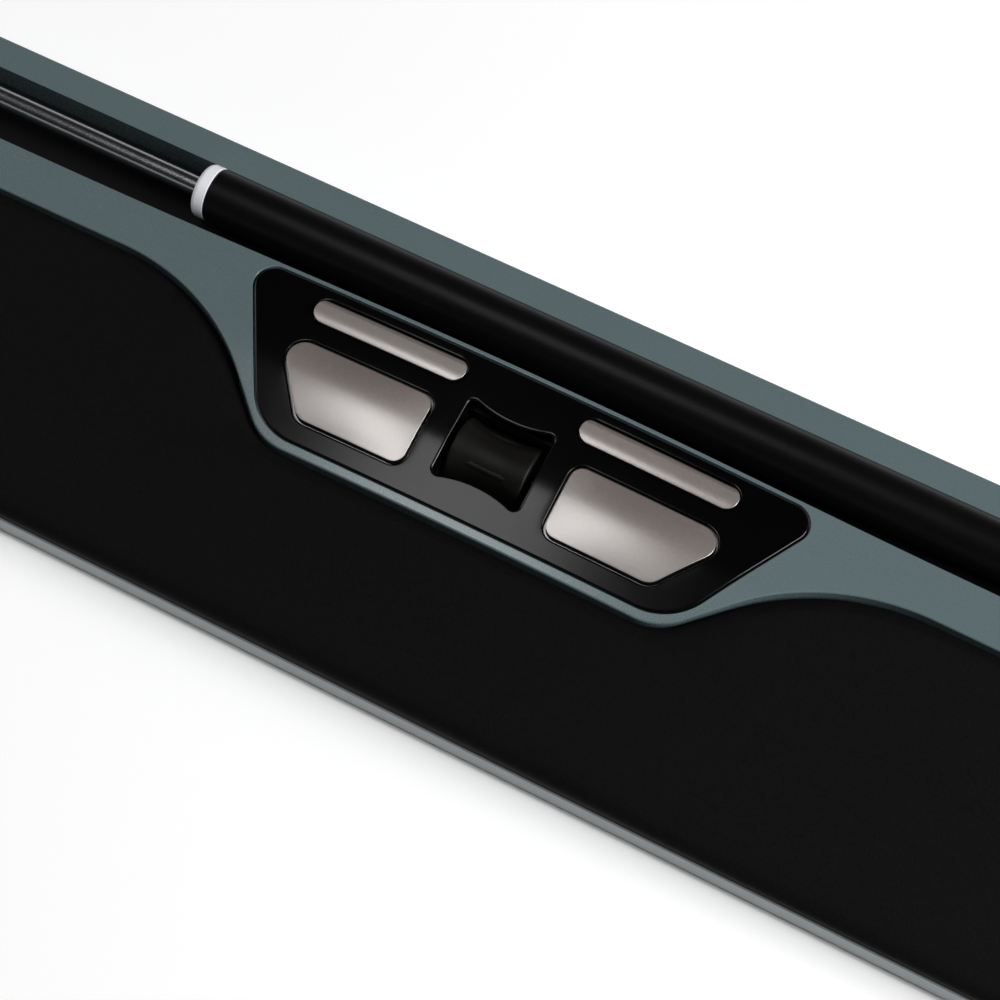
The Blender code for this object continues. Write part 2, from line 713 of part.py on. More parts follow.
def make_wrist_rest():
    """Board that lies in the tray, and the soft pad on it, whose cushion covers the tray's edge."""
    seat = rounded(offset(REST, -TRAY_WALL - REST_GAP))
    board = slab("wrist_rest_board", [seat], SHELL_FOOT, SHELL_FOOT + REST_BOARD)
    finish(board, INNER_BLACK, 0.6)

    cushion_foot = TRAY_TOP + FIT_GAP
    pad = slab("wrist_rest_pad", [rounded(offset(REST, -REST_GAP))], cushion_foot, PAD_HEIGHT)
    round_edges(pad, PAD_ROUND, at_height(PAD_HEIGHT))
    edge_front = FRONT_Y + REST_GAP
    edge_rear = RIM_FRONT - REST_GAP
    ridge = (edge_front + edge_rear) / 2
    half = (edge_rear - edge_front) / 2

    def settle(point):
        share = (point.z - cushion_foot) / (PAD_HEIGHT - cushion_foot)
        fall = PAD_FALL * min(1, ((point.y - ridge) / half) ** 2)
        return -share * (fall + PAD_CROWN_SHARE * crown(point.x))

    x_cuts = steps_between(-CROWN_REACH, CROWN_REACH, CROWN_STEP)
    shape_top(pad, x_cuts, steps_between(edge_front, WING_FRONT, PAD_STEP), settle)
    plug = slab("plug", [seat], PAD_BOTTOM, cushion_foot + FIT_GAP)
    join(pad, plug)
    finish(pad, PAD_BLACK, 0.7)


def make_control_panel():
    """Black plate in the deck's pocket, open around the buttons and the wheel."""
    holes = [rounded(wheel_opening())]
    for side in (-1, 1):
        for button in (CLICK_BUTTON, BAR_BUTTON):
            holes.append(rounded(mirrored(offset(button, BUTTON_GAP), side)))
    panel = slab("control_panel", [rounded(offset(POCKET, -PANEL_GAP)), *holes], PANEL_BOTTOM, DECK_TOP)
    drape(panel)
    finish(panel, PANEL_BLACK, 0.15)


def make_button(name, outline, proud, dome, edge):
    """Silver cap with a flange that the panel holds down and a stem over its switch."""
    top = DECK_TOP + proud
    x, y = middle_of(outline)
    half_x = max(corner[0] for corner in outline) - x
    half_y = max(corner[1] for corner in outline) - y
    cap = slab(name, [rounded(outline)], FLANGE_BOTTOM, top)
    round_edges(cap, edge, at_height(top))

    def swell(point):
        if point.z < DECK_TOP:
            return 0
        across = max(0, 1 - ((point.x - x) / half_x) ** 2)
        along = max(0, 1 - ((point.y - y) / half_y) ** 2)
        return dome * across * along

    shares = (-0.5, 0, 0.5) if dome else ()
    x_cuts = [x + half_x * share for share in shares]
    y_cuts = [y + half_y * share for share in shares]
    shape_top(cap, x_cuts, y_cuts, swell)
    skirt = rounded(offset(outline, BUTTON_GAP + BUTTON_FLANGE))
    flange = slab("flange", [skirt], FLANGE_BOTTOM, FLANGE_TOP)
    stem = rod("stem", (x, y, STEM_BOTTOM), (x, y, FLANGE_TOP), BUTTON_STEM_RADIUS)
    join(cap, flange)
    join(cap, stem)
    drape(cap)
    finish(cap, BUTTON_SILVER, 0.3, 0.6, (x, y, FLANGE_TOP))


def make_buttons():
    """Two large click buttons and two slim bar buttons behind them."""
    for side, word in ((-1, "left"), (1, "right")):
        click = mirrored(CLICK_BUTTON, side)
        make_button(word + "_click_button", click, CLICK_PROUD, CLICK_DOME, CLICK_ROUND)
        bar = mirrored(BAR_BUTTON, side)
        make_button(word + "_bar_button", bar, BAR_PROUD, 0, BAR_ROUND)


def make_scroll_wheel():
    """Saddle-shaped wheel with lens-shaped ribs, on an axle that turns in a sprung carriage."""
    flank = WHEEL_HALF_WIDTH - WHEEL_EDGE
    stations = [flank * (1 - step / 4) for step in range(9)]
    profile = [(saddle(WHEEL_HALF_WIDTH) - WHEEL_EDGE, WHEEL_HALF_WIDTH)]
    profile += [(saddle(station), station) for station in stations]
    profile += [(saddle(WHEEL_HALF_WIDTH) - WHEEL_EDGE, -WHEEL_HALF_WIDTH)]
    bore = AXLE_RADIUS + FIT_GAP
    profile += [(bore, -WHEEL_HALF_WIDTH), (bore, WHEEL_HALF_WIDTH)]
    wheel = turned("scroll_wheel", profile, bored=True)
    ribs = []
    for index in range(RIB_COUNT):
        angle = 2 * math.pi * (index + 0.5) / RIB_COUNT + RIB_LEAN
        seat = RIB_CREST - RIB_RADIUS
        x, y = -seat * math.cos(angle), seat * math.sin(angle)
        ribs.append(rod("rib", (x, y, -RIB_LENGTH / 2), (x, y, RIB_LENGTH / 2), RIB_RADIUS))
    join(wheel, *ribs)
    wheel.data.transform(Matrix.Translation(WHEEL_CENTRE) @ Matrix.Rotation(math.pi / 2, 4, 'Y'))
    finish(wheel, ROLLER_BLACK, 0.25, 0.0, WHEEL_CENTRE)

    reach = Vector((ARM_OUTER + FIT_GAP + ENCODER_LENGTH / 2, 0, 0))
    start = Vector((-ARM_OUTER, 0, 0))
    axle = rod("wheel_axle", WHEEL_CENTRE + start, WHEEL_CENTRE + reach, AXLE_RADIUS)
    finish(axle, STEEL, 0.3, 1.0, WHEEL_CENTRE)

    carriage = block(
        "wheel_carriage", (-ARM_OUTER, YOKE_FRONT, ARM_TOP - YOKE_HEIGHT), (ARM_OUTER, YOKE_REAR, ARM_TOP)
    )
    arms = []
    for side in (-1, 1):
        inner, outer = sorted((side * ARM_INNER, side * ARM_OUTER))
        arms.append(block("arm", (inner, WHEEL_Y - ARM_REACH, ARM_BOTTOM), (outer, YOKE_REAR, ARM_TOP)))
    join(carriage, *arms)
    across = Vector((ARM_OUTER + MARGIN, 0, 0))
    cut(carriage, rod("bearing", WHEEL_CENTRE - across, WHEEL_CENTRE + across, AXLE_RADIUS + RUN_GAP))
    finish(carriage, INNER_BLACK, 0.5, 0.0, WHEEL_CENTRE)

    encoder = block(
        "wheel_encoder",
        (ARM_OUTER + FIT_GAP, WHEEL_Y - ARM_HEIGHT / 2, ARM_BOTTOM),
        (ARM_OUTER + FIT_GAP + ENCODER_LENGTH, WHEEL_Y + ARM_HEIGHT / 2, ARM_TOP),
    )
    socket_end = WHEEL_CENTRE + reach + Vector((FIT_GAP, 0, 0))
    cut(encoder, rod("socket", WHEEL_CENTRE, socket_end, AXLE_RADIUS + RUN_GAP))
    finish(encoder, BOARD_GREEN, 0.5, 0.0, WHEEL_CENTRE)


def make_switch(name, x, y):
    """Push switch under a button, with its round plunger."""
    half = SWITCH_SIZE / 2
    body = block(name, (x - half, y - half, CHIP_SEAT), (x + half, y + half, CHIP_SEAT + SWITCH_HEIGHT))
    plunger = rod("plunger", (x, y, CHIP_SEAT + SWITCH_HEIGHT / 2), (x, y, PLUNGER_TOP), PLUNGER_RADIUS)
    join(body, plunger)
    finish(body, INNER_BLACK, 0.5)


def make_electronics():
    """Circuit board with its switches, controller chip, motion sensor and the sensor's window."""
    half = BOARD_LENGTH / 2
    window_half = ARM_OUTER + WINDOW_SIDE
    window_front = WHEEL_Y - WHEEL_END_RADIUS - YOKE_GAP
    window = rectangle(-window_half, window_half, window_front, YOKE_FRONT)
    outlines = [rounded(rectangle(-half, half, BOARD_FRONT, BOARD_REAR)), rounded(window)[::-1]]
    outlines += [circle(x, y, SCREW_HOLE) for x, y in POSTS]
    board = slab("circuit_board", outlines, BOARD_BOTTOM, BOARD_TOP)
    finish(board, BOARD_GREEN, 0.4)

    for side, word in ((-1, "left"), (1, "right")):
        make_switch(word + "_click_switch", *middle_of(mirrored(CLICK_BUTTON, side)))
        make_switch(word + "_bar_switch", *middle_of(mirrored(BAR_BUTTON, side)))

    switch_right = -SENSOR_LENGTH / 2 - WHEEL_SWITCH_GAP
    switch_front = YOKE_FRONT + FIT_GAP
    wheel_switch = block(
        "wheel_switch",
        (switch_right - WHEEL_SWITCH_SIZE, switch_front, CHIP_SEAT),
        (switch_right, switch_front + WHEEL_SWITCH_SIZE, CHIP_SEAT + WHEEL_SWITCH_HEIGHT),
    )
    finish(wheel_switch, INNER_BLACK, 0.5)

    chip_front = BOARD_FRONT + FIT_GAP
    chip = block(
        "controller_chip",
        (-CHIP_SIZE / 2, chip_front, CHIP_SEAT),
        (CHIP_SIZE / 2, min(chip_front + CHIP_SIZE, window_front - FIT_GAP), CHIP_SEAT + CHIP_HEIGHT),
    )
    finish(chip, INNER_BLACK, 0.4)

    sensor = block(
        "motion_sensor",
        (-SENSOR_LENGTH / 2, BOARD_REAR - SENSOR_DEPTH, CHIP_SEAT),
        (SENSOR_LENGTH / 2, BOARD_REAR, CHIP_SEAT + SENSOR_HEIGHT),
    )
    finish(sensor, INNER_BLACK, 0.4)

    window_low = CHIP_SEAT + WINDOW_LIFT
    pane = block(
        "sensor_window",
        (-WINDOW_LENGTH / 2, GROOVE_FRONT - SHELL_WALL + FIT_GAP, window_low),
        (WINDOW_LENGTH / 2, GROOVE_FRONT - FIT_GAP, window_low + WINDOW_HEIGHT),
    )
    finish(pane, PANEL_BLACK, 0.05)


def along_rail(obj):
    """Turn a shape made about Z so that it lies along the rail, Z becoming X."""
    obj.data.transform(Matrix.Translation((0, ROLLER_Y, ROLLER_Z)) @ Matrix.Rotation(math.pi / 2, 4, 'Y'))


def make_roller():
    """Sleeve that turns on a glide tube, which slides on a rail, with a pale ring at each end."""
    axis = Vector((0, ROLLER_Y, ROLLER_Z))
    ring_inner = RAIL_RADIUS + RING_CLEARANCE
    sleeve_inner = ROLLER_RADIUS - SLEEVE_WALL
    left = SLEEVE_LEFT + RING_WIDTH + FIT_GAP
    right = SLEEVE_RIGHT - RING_WIDTH - FIT_GAP
    tube = [(ROLLER_RADIUS, right), (ROLLER_RADIUS, left), (sleeve_inner, left), (sleeve_inner, right)]
    sleeve = turned("roller_sleeve", tube, bored=True)
    along_rail(sleeve)
    finish(sleeve, ROLLER_BLACK, 0.5, 0.0, ROLLER_CENTRE)

    glide_outer = sleeve_inner - RUN_GAP
    glide_inner = RAIL_RADIUS + RUN_GAP
    bush = [(glide_outer, right), (glide_outer, left), (glide_inner, left), (glide_inner, right)]
    glide = turned("roller_glide", bush, bored=True)
    along_rail(glide)
    finish(glide, INNER_BLACK, 0.4, 0.0, ROLLER_CENTRE)

    shoulder = ROLLER_RADIUS - RING_EDGE
    for word, end, inwards in (("left", SLEEVE_LEFT, 1), ("right", SLEEVE_RIGHT, -1)):
        slope = end + inwards * RING_EDGE
        flank = end + inwards * RING_WIDTH
        outside = [(shoulder, end), (ROLLER_RADIUS, slope), (ROLLER_RADIUS, flank)]
        profile = outside + [(ring_inner, flank), (ring_inner, end)]
        if inwards > 0:
            profile.reverse()
        ring = turned(word + "_roller_ring", profile, bored=True)
        along_rail(ring)
        finish(ring, RING_GREY, 0.4, 0.0, ROLLER_CENTRE)

    rail_end = HOLDER_INNER + RAIL_SEAT
    half_rail = Vector((rail_end, 0, 0))
    rail = rod("roller_rail", axis - half_rail, axis + half_rail, RAIL_RADIUS, ROUND_SIDES)
    finish(rail, STEEL, 0.25, 1.0, axis)

    for side, word in ((-1, "left"), (1, "right")):
        make_rail_end(side, word, axis)


def make_rail_end(side, word, axis):
    """Cap at the end of the groove, with the sprung holder of the rail, its switch and a bumper."""

    def box(name, inner, outer, half_width, low, high):
        near, far = sorted((side * inner, side * outer))
        return block(name, (near, ROLLER_Y - half_width, low), (far, ROLLER_Y + half_width, high))

    def bar(name, inner, outer, radius, sides):
        start = axis + Vector((side * inner, 0, 0))
        end = axis + Vector((side * outer, 0, 0))
        return rod(name, start, end, radius, sides)

    cap_foot = GROOVE_BOTTOM + FIT_GAP
    cap_outer = CAP_INNER + CAP_LENGTH
    cap = box(word + "_rail_cap", CAP_INNER, cap_outer, ROLLER_RADIUS, cap_foot, ROLLER_Z)
    join(cap, bar("crest", CAP_INNER, cap_outer, ROLLER_RADIUS, ROUND_SIDES))
    half = HOLDER_SIZE / 2
    pocket_end = HOLDER_INNER + HOLDER_LENGTH + RUN_GAP
    pocket_floor = cap_foot + CAP_FLOOR
    pocket_half = half + RUN_GAP
    pocket_top = ROLLER_Z + pocket_half
    cut(cap, box("pocket", CAP_INNER - MARGIN, pocket_end, pocket_half, pocket_floor, pocket_top))
    finish(cap, INNER_BLACK, 0.45)

    holder_outer = HOLDER_INNER + HOLDER_LENGTH
    holder = box(word + "_rail_holder", HOLDER_INNER, holder_outer, half, ROLLER_Z - half, ROLLER_Z + half)
    seat_end = HOLDER_INNER + RAIL_SEAT + FIT_GAP
    cut(holder, bar("seat", HOLDER_INNER - MARGIN, seat_end, RAIL_RADIUS + FIT_GAP, ROUND_SIDES))
    finish(holder, INNER_BLACK, 0.5, 0.0, axis + Vector((side * HOLDER_INNER, 0, 0)))

    switch_inner = HOLDER_INNER + (HOLDER_LENGTH - ROLLER_SWITCH_SIZE) / 2
    switch_top = ROLLER_Z - half - ROLLER_TRAVEL - RUN_GAP
    switch = box(
        word + "_roller_switch", switch_inner, switch_inner + ROLLER_SWITCH_SIZE, ROLLER_SWITCH_SIZE / 2,
        pocket_floor + FIT_GAP, switch_top,
    )
    finish(switch, INNER_BLACK, 0.5)

    low, high = sorted((side * BUMPER_INNER, side * (BUMPER_INNER + BUMPER_WIDTH)))
    hole = RAIL_RADIUS + FIT_GAP
    profile = [(BUMPER_RADIUS, high), (BUMPER_RADIUS, low), (hole, low), (hole, high)]
    bumper = turned(word + "_rail_bumper", profile, bored=True)
    along_rail(bumper)
    finish(bumper, RUBBER_BLACK, 0.8, 0.0, axis + Vector((side * BUMPER_INNER, 0, 0)))


def make_groove_floor():
    """Dark plate that closes the groove below the bar."""
    floor = block(
        "groove_floor",
        (-GROOVE_END + FIT_GAP, GROOVE_FRONT + FIT_GAP, SHELL_FOOT),
        (GROOVE_END - FIT_GAP, GROOVE_REAR - FIT_GAP, GROOVE_BOTTOM),
    )
    finish(floor, INNER_BLACK, 0.6)


def make_screw(name, x, y, seat, head, length, upwards):
    """Pan-head screw; seat is the height of the underside of its head."""
    radius, height = head
    sign = 1 if upwards else -1
    profile = [
        (0, seat + sign * length),
        (SCREW_RADIUS, seat + sign * length),
        (SCREW_RADIUS, seat),
        (radius, seat),
        (radius, seat - sign * height),
        (0, seat - sign * height),
    ]
    if not upwards:
        profile.reverse()
    screw = turned(name, profile, bored=False, sides=SMALL_SIDES)
    screw.data.transform(Matrix.Translation((x, y, 0)))
    finish(screw, STEEL, 0.35, 1.0)


def make_fasteners():
    """Screws that hold the shells together from below and the circuit board from above."""
    base_head = (SCREW_HEAD_RADIUS, SCREW_HEAD_HEIGHT)
    base_seat = FOOT_LIFT + SCREW_HEAD_HEIGHT
    for index, (x, y) in enumerate(BOSSES):
        make_screw(f"base_screw_{index + 1}", x, y, base_seat, base_head, SCREW_LENGTH, True)
    board_head = (BOARD_SCREW_HEAD_RADIUS, BOARD_SCREW_HEAD_HEIGHT)
    for index, (x, y) in enumerate(POSTS):
        make_screw(f"board_screw_{index + 1}", x, y, CHIP_SEAT, board_head, BOARD_SCREW_LENGTH, False)


def make_feet():
    """Rubber feet below the lower housing."""
    foot_x = HALF_LENGTH - FOOT_END_INSET
    foot_y = REAR_Y - FOOT_INSET
    for row, y in (("front", -foot_y), ("rear", foot_y)):
        for word, x in (("left", -foot_x), ("middle", 0), ("right", foot_x)):
            left, right = x - FOOT_LENGTH / 2, x + FOOT_LENGTH / 2
            front, back = y - FOOT_WIDTH / 2, y + FOOT_WIDTH / 2
            outline = rectangle(left, right, front, back, FOOT_CORNER)
            foot = slab(f"{row}_{word}_foot", [rounded(outline)], 0, FOOT_LIFT - FIT_GAP)
            finish(foot, RUBBER_BLACK, 0.85)


def make_cable_socket():
    """Metal socket shell in the rear wall."""
    low = SHELL_FOOT + SOCKET_LIFT
    left, right = SOCKET_X - SOCKET_WIDTH / 2, SOCKET_X + SOCKET_WIDTH / 2
    mouth = REAR_Y - FIT_GAP
    shell = block("cable_socket", (left, mouth - SOCKET_DEPTH, low), (right, mouth, low + SOCKET_HEIGHT))
    opening = block(
        "opening",
        (left + SOCKET_WALL, mouth - SOCKET_DEPTH + 2 * SOCKET_WALL, low + SOCKET_WALL),
        (right - SOCKET_WALL, mouth + MARGIN, low + SOCKET_HEIGHT - SOCKET_WALL),
    )
    cut(shell, opening)
    finish(shell, STEEL, 0.3, 1.0)


make_lower_housing()
make_upper_housing()
make_wrist_rest()
make_control_panel()
make_buttons()
make_scroll_wheel()
make_electronics()
make_groove_floor()
make_roller()
make_fasteners()
make_feet()
make_cable_socket()
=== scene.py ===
import json
import math

import bmesh
import bpy
from mathutils import Matrix, Vector

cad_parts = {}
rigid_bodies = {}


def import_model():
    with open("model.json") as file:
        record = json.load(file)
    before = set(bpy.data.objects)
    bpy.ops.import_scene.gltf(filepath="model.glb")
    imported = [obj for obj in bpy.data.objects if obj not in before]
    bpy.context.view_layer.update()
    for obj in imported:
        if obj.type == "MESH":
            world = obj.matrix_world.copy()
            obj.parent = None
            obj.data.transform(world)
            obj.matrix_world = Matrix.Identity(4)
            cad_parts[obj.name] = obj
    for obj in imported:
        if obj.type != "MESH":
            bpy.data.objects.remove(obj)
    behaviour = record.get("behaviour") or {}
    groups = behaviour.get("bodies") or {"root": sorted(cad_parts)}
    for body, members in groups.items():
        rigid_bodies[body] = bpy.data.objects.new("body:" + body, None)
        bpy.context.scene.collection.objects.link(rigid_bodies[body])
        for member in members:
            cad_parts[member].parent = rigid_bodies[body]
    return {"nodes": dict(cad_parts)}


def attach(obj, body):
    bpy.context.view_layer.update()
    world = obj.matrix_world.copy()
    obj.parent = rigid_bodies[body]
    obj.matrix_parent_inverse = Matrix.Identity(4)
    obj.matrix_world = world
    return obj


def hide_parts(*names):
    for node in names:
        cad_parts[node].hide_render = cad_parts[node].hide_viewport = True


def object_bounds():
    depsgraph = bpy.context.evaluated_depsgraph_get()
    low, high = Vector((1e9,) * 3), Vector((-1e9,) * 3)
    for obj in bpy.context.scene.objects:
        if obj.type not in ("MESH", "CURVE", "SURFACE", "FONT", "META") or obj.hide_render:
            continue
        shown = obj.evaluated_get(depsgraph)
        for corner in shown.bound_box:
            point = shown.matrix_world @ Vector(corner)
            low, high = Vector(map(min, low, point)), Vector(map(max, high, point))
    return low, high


for leftover in list(bpy.data.objects):
    bpy.data.objects.remove(leftover)
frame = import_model()
cad_low, cad_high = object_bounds()

# Lower housing: a shallow tray moulded in blue-grey plastic, paler than the deck: partly a two-tone housing,
# partly painted light for its bright front wall. Its front wall shows below the wrist rest, posts on its
# floor carry the circuit board, and six screws from below hold the deck on it.
FIT_GAP = 0.0003
HALF_LENGTH = cad_high.x
REAR_Y = cad_high.y
FRONT_Y = -REAR_Y
BODY_CORNER = 0.016
FOOT_LIFT = 0.0010
FLOOR_TOP = 0.0030
TRAY_TOP = 0.0103
TRAY_WALL = 0.0012
TRAY_FOOT_ROUND = 0.0010
TRAY_TOP_ROUND = 0.0003
WING_FRONT = 0.0177
SCREW_ROW = 0.0232
SCREW_COLUMNS = (0.080, 0.150, 0.225)
BASE_SCREWS = [(hand * x, SCREW_ROW) for hand in (-1, 1) for x in SCREW_COLUMNS]
SCREW_HOLE = 0.0013
SCREW_SINK = 0.0031
SINK_TOP = 0.0022
POST_X = 0.047
POST_ROWS = (-0.0020, 0.0176)
BOARD_POSTS = [(hand * POST_X, y) for hand in (-1, 1) for y in POST_ROWS]
POST_RADIUS = 0.0025
POST_TOP = 0.0067
POST_HOLE_TOP = 0.0090
GUIDE_SIZE = (0.0016, 0.0020)
GUIDE_X = 0.0125
GUIDE_Y = 0.00215
GUIDE_TOP = 0.0141
# Paler than the housing grey: partly the tray's own tone, partly painted light on its front wall.
TRAY_GREY_AND_PAINTED_LIGHT = (0.245, 0.285, 0.298)
MERGE_GAP = 0.000001
FLAT_ANGLE = math.radians(0.1)


def outline(corners, steps=12):
    """Points and outward normals along a counter-clockwise outline; its corners are (x, y, radius)."""
    places = [Vector(corner[:2]) for corner in corners]
    edge = []
    for index, here in enumerate(places):
        incoming = (here - places[index - 1]).normalized()
        outgoing = (places[(index + 1) % len(places)] - here).normalized()
        turn = math.atan2(incoming.cross(outgoing), incoming.dot(outgoing))
        outwards = Vector((incoming.y, -incoming.x))
        radius = math.copysign(corners[index][2], turn)
        if not radius:
            edge.append((here, outwards + incoming * math.tan(turn / 2)))
            continue
        start = here - incoming * radius * math.tan(turn / 2)
        centre = start - outwards * radius
        for step in range(steps + 1):
            normal = outwards.copy()
            normal.rotate(Matrix.Rotation(turn * step / steps, 2))
            edge.append((centre + normal * radius, normal))
    return edge


def rectangle(width, depth, radius, middle=(0.0, 0.0)):
    """Corners of a rectangle about its middle."""
    left, right = middle[0] - width / 2, middle[0] + width / 2
    front, rear = middle[1] - depth / 2, middle[1] + depth / 2
    return [(left, front, radius), (right, front, radius), (right, rear, radius), (left, rear, radius)]


def circle(x, y, radius, sides=32):
    """Points and outward normals of a round outline."""
    angles = [2 * math.pi * number / sides for number in range(sides)]
    normals = [Vector((math.cos(angle), math.sin(angle))) for angle in angles]
    return [(Vector((x, y)) + normal * radius, normal) for normal in normals]


def side(low, high, foot=0.0, crest=0.0, steps=5):
    """(distance, height) points up a side; a positive round turns inwards, a negative one outwards."""
    turns = [math.pi / 2 * step / steps for step in range(steps + 1)]
    lower = [(-foot * (1 - math.sin(turn)), low + abs(foot) * (1 - math.cos(turn))) for turn in turns]
    upper = [(-crest * (1 - math.cos(turn)), high - abs(crest) * (1 - math.sin(turn))) for turn in turns]
    return (lower if foot else [(0, low)]) + (upper if crest else [(0, high)])


def add_object(name, data):
    """Put data into the scene as an object of its own."""
    obj = bpy.data.objects.new(name, data)
    bpy.context.scene.collection.objects.link(obj)
    return obj


def place(name, bm):
    """Put a bmesh into the scene, with its doubles merged and its faces turned outwards."""
    bmesh.ops.remove_doubles(bm, verts=bm.verts, dist=MERGE_GAP)
    bmesh.ops.delete(bm, geom=[edge for edge in bm.edges if edge.is_wire], context='EDGES')
    bmesh.ops.recalc_face_normals(bm, faces=bm.faces)
    mesh = bpy.data.meshes.new(name)
    bm.to_mesh(mesh)
    bm.free()
    return add_object(name, mesh)


def loft(name, rings, bored=False):
    """A closed shape through rings of equally many points, with flat ends or run round into itself."""
    bm = bmesh.new()
    rows = [[bm.verts.new(point) for point in ring] for ring in rings]
    pairs = list(zip(rows, rows[1:]))
    if bored:
        pairs.append((rows[-1], rows[0]))
    else:
        bm.faces.new(rows[0][::-1])
        bm.faces.new(rows[-1])
    for near, far in pairs:
        for index in range(len(near)):
            bm.faces.new((near[index - 1], near[index], far[index], far[index - 1]))
    return place(name, bm)


def plate(name, edge, profile):
    """A flat piece with an outline, whose side runs through (distance, height) points."""
    rings = [[(*(point + normal * away), height) for point, normal in edge] for away, height in profile]
    return loft(name, rings)


def block(name, size, middle, low, high):
    """A plain rectangular piece that stands between two heights."""
    return plate(name, outline(rectangle(*size, 0, middle)), side(low, high))


def pegs(name, places, radius, profile):
    """Round pieces of one size that stand at several places."""
    return [plate(name, circle(x, y, radius), profile) for x, y in places]


def worked_out(obj):
    """The object's mesh with its modifiers worked in."""
    bpy.context.view_layer.update()
    depsgraph = bpy.context.evaluated_depsgraph_get()
    return bpy.data.meshes.new_from_object(obj.evaluated_get(depsgraph))


def combine(obj, operation, tools):
    """Cut other shapes out of an object, or join them to it."""
    for tool in tools:
        modifier = obj.modifiers.new(operation.lower(), 'BOOLEAN')
        modifier.operation = operation
        modifier.solver = 'EXACT'
        modifier.object = tool
    mesh = worked_out(obj)
    obj.modifiers.clear()
    obj.data = mesh
    for tool in tools:
        bpy.data.objects.remove(tool)
    bm = bmesh.new()
    bm.from_mesh(mesh)
    bmesh.ops.remove_doubles(bm, verts=bm.verts, dist=MERGE_GAP)
    bmesh.ops.dissolve_limit(bm, angle_limit=FLAT_ANGLE, verts=bm.verts, edges=bm.edges)
    bm.to_mesh(mesh)
    bm.free()


def complete(obj, finish, crease=35):
    """Give a piece its finish and smooth faces between its sharp edges."""
    obj.data.materials.clear()
    obj.data.materials.append(finish)
    obj.data.shade_smooth()
    obj.data.set_sharp_from_angle(angle=math.radians(crease))
    shade = obj.modifiers.new("even_shade", 'WEIGHTED_NORMAL')
    shade.keep_sharp = True


class Value:
    """A node's output; arithmetic on it adds Math nodes to its tree."""

    def __init__(self, tree, socket):
        self.tree = tree
        self.socket = socket

    def maths(self, operation, first, second):
        return self.tree.node('ShaderNodeMath', {'operation': operation}, {0: first, 1: second})

    def __add__(self, other):
        return self.maths('ADD', self, other)

    def __radd__(self, other):
        return self.maths('ADD', other, self)

    def __sub__(self, other):
        return self.maths('SUBTRACT', self, other)

    def __rsub__(self, other):
        return self.maths('SUBTRACT', other, self)

    def __mul__(self, other):
        return self.maths('MULTIPLY', self, other)

    def __rmul__(self, other):
        return self.maths('MULTIPLY', other, self)


class Tree:
    """A node tree that is written as expressions, for a finish or for geometry."""

    def __init__(self, tree):
        self.tree = tree

    def node(self, kind, settings=None, inputs=None, output=0):
        """Add a node with its settings or a ramp's stops, feed its sockets, and return one output."""
        made = self.tree.nodes.new(kind)
        for name, value in (settings or {}).items():
            if name == 'stops':
                elements = made.color_ramp.elements
                for index, (position, shade) in enumerate(value):
                    stop = elements[index] if index < 2 else elements.new(position)
                    stop.position = position
                    stop.color = (shade, shade, shade, 1)
            else:
                setattr(made, name, value)
        self.feed(made, inputs or {})
        return Value(self, made.outputs[output]) if made.outputs else None

    def feed(self, made, inputs):
        """Link values to a node's sockets, or set what the sockets hold."""
        for key, value in inputs.items():
            if isinstance(value, Value):
                self.tree.links.new(value.socket, made.inputs[key])
            else:
                made.inputs[key].default_value = value

    def noise(self, where, scale, detail=2.0):
        """Soft noise with a number of features per metre."""
        return self.node('ShaderNodeTexNoise', {}, {'Vector': where, 'Scale': scale, 'Detail': detail})

    def mix(self, share, first, second):
        """A colour between two colours."""
        inputs = {0: share, 6: (*first, 1), 7: (*second, 1)}
        return self.node('ShaderNodeMix', {'data_type': 'RGBA'}, inputs, 2)

    def bump(self, height, depth, strength=1.0):
        """A surface normal that follows a height of so many metres."""
        inputs = {'Height': height, 'Distance': depth, 'Strength': strength}
        return self.node('ShaderNodeBump', {}, inputs)


def surface(name, **constants):
    """A finish with its tree, its shader and the object coordinates that its patterns follow."""
    finish = bpy.data.materials.new(name)
    finish.use_nodes = True
    tree = Tree(finish.node_tree)
    shader = finish.node_tree.nodes["Principled BSDF"]
    tree.feed(shader, {key.replace("_", " "): value for key, value in constants.items()})
    return finish, tree, shader, tree.node('ShaderNodeTexCoord', output='Object')


def tinted(colour, share):
    """A colour made darker or lighter by a share."""
    return tuple(channel * share for channel in colour)


def moulded(name, colour, roughness, grain, gloss=0.5):
    """Moulded plastic: a faint drift of tone, a fine eroded grain and a sheen that varies with it."""
    finish, tree, shader, where = surface(name, Specular_IOR_Level=gloss)
    drift = tree.noise(where, scale=45.0)
    grit = tree.noise(where, scale=3800.0, detail=3.0)
    tree.feed(shader, {
        "Base Color": tree.mix(drift * 0.7 + grit * 0.3, tinted(colour, 0.94), tinted(colour, 1.06)),
        "Roughness": roughness - 0.04 + grit * 0.08,
        "Normal": tree.bump(grit, grain),
    })
    return finish


# The tray's finish carries painted light: its grey is raised so that the front wall looks lit.
tray_grey_and_painted_light = moulded("tray_grey_and_painted_light", TRAY_GREY_AND_PAINTED_LIGHT, roughness=0.34, grain=0.000003)
body_corners = rectangle(2 * HALF_LENGTH, 2 * REAR_Y, BODY_CORNER)
wall_end = WING_FRONT - FIT_GAP
wall_inner_x = HALF_LENGTH - TRAY_WALL
wall_inner_y = FRONT_Y + TRAY_WALL
wall_corners = [
    (-HALF_LENGTH, wall_end, 0),
    (-HALF_LENGTH, FRONT_Y, BODY_CORNER),
    (HALF_LENGTH, FRONT_Y, BODY_CORNER),
    (HALF_LENGTH, wall_end, 0),
    (wall_inner_x, wall_end, 0),
    (wall_inner_x, wall_inner_y, BODY_CORNER - TRAY_WALL),
    (-wall_inner_x, wall_inner_y, BODY_CORNER - TRAY_WALL),
    (-wall_inner_x, wall_end, 0),
]
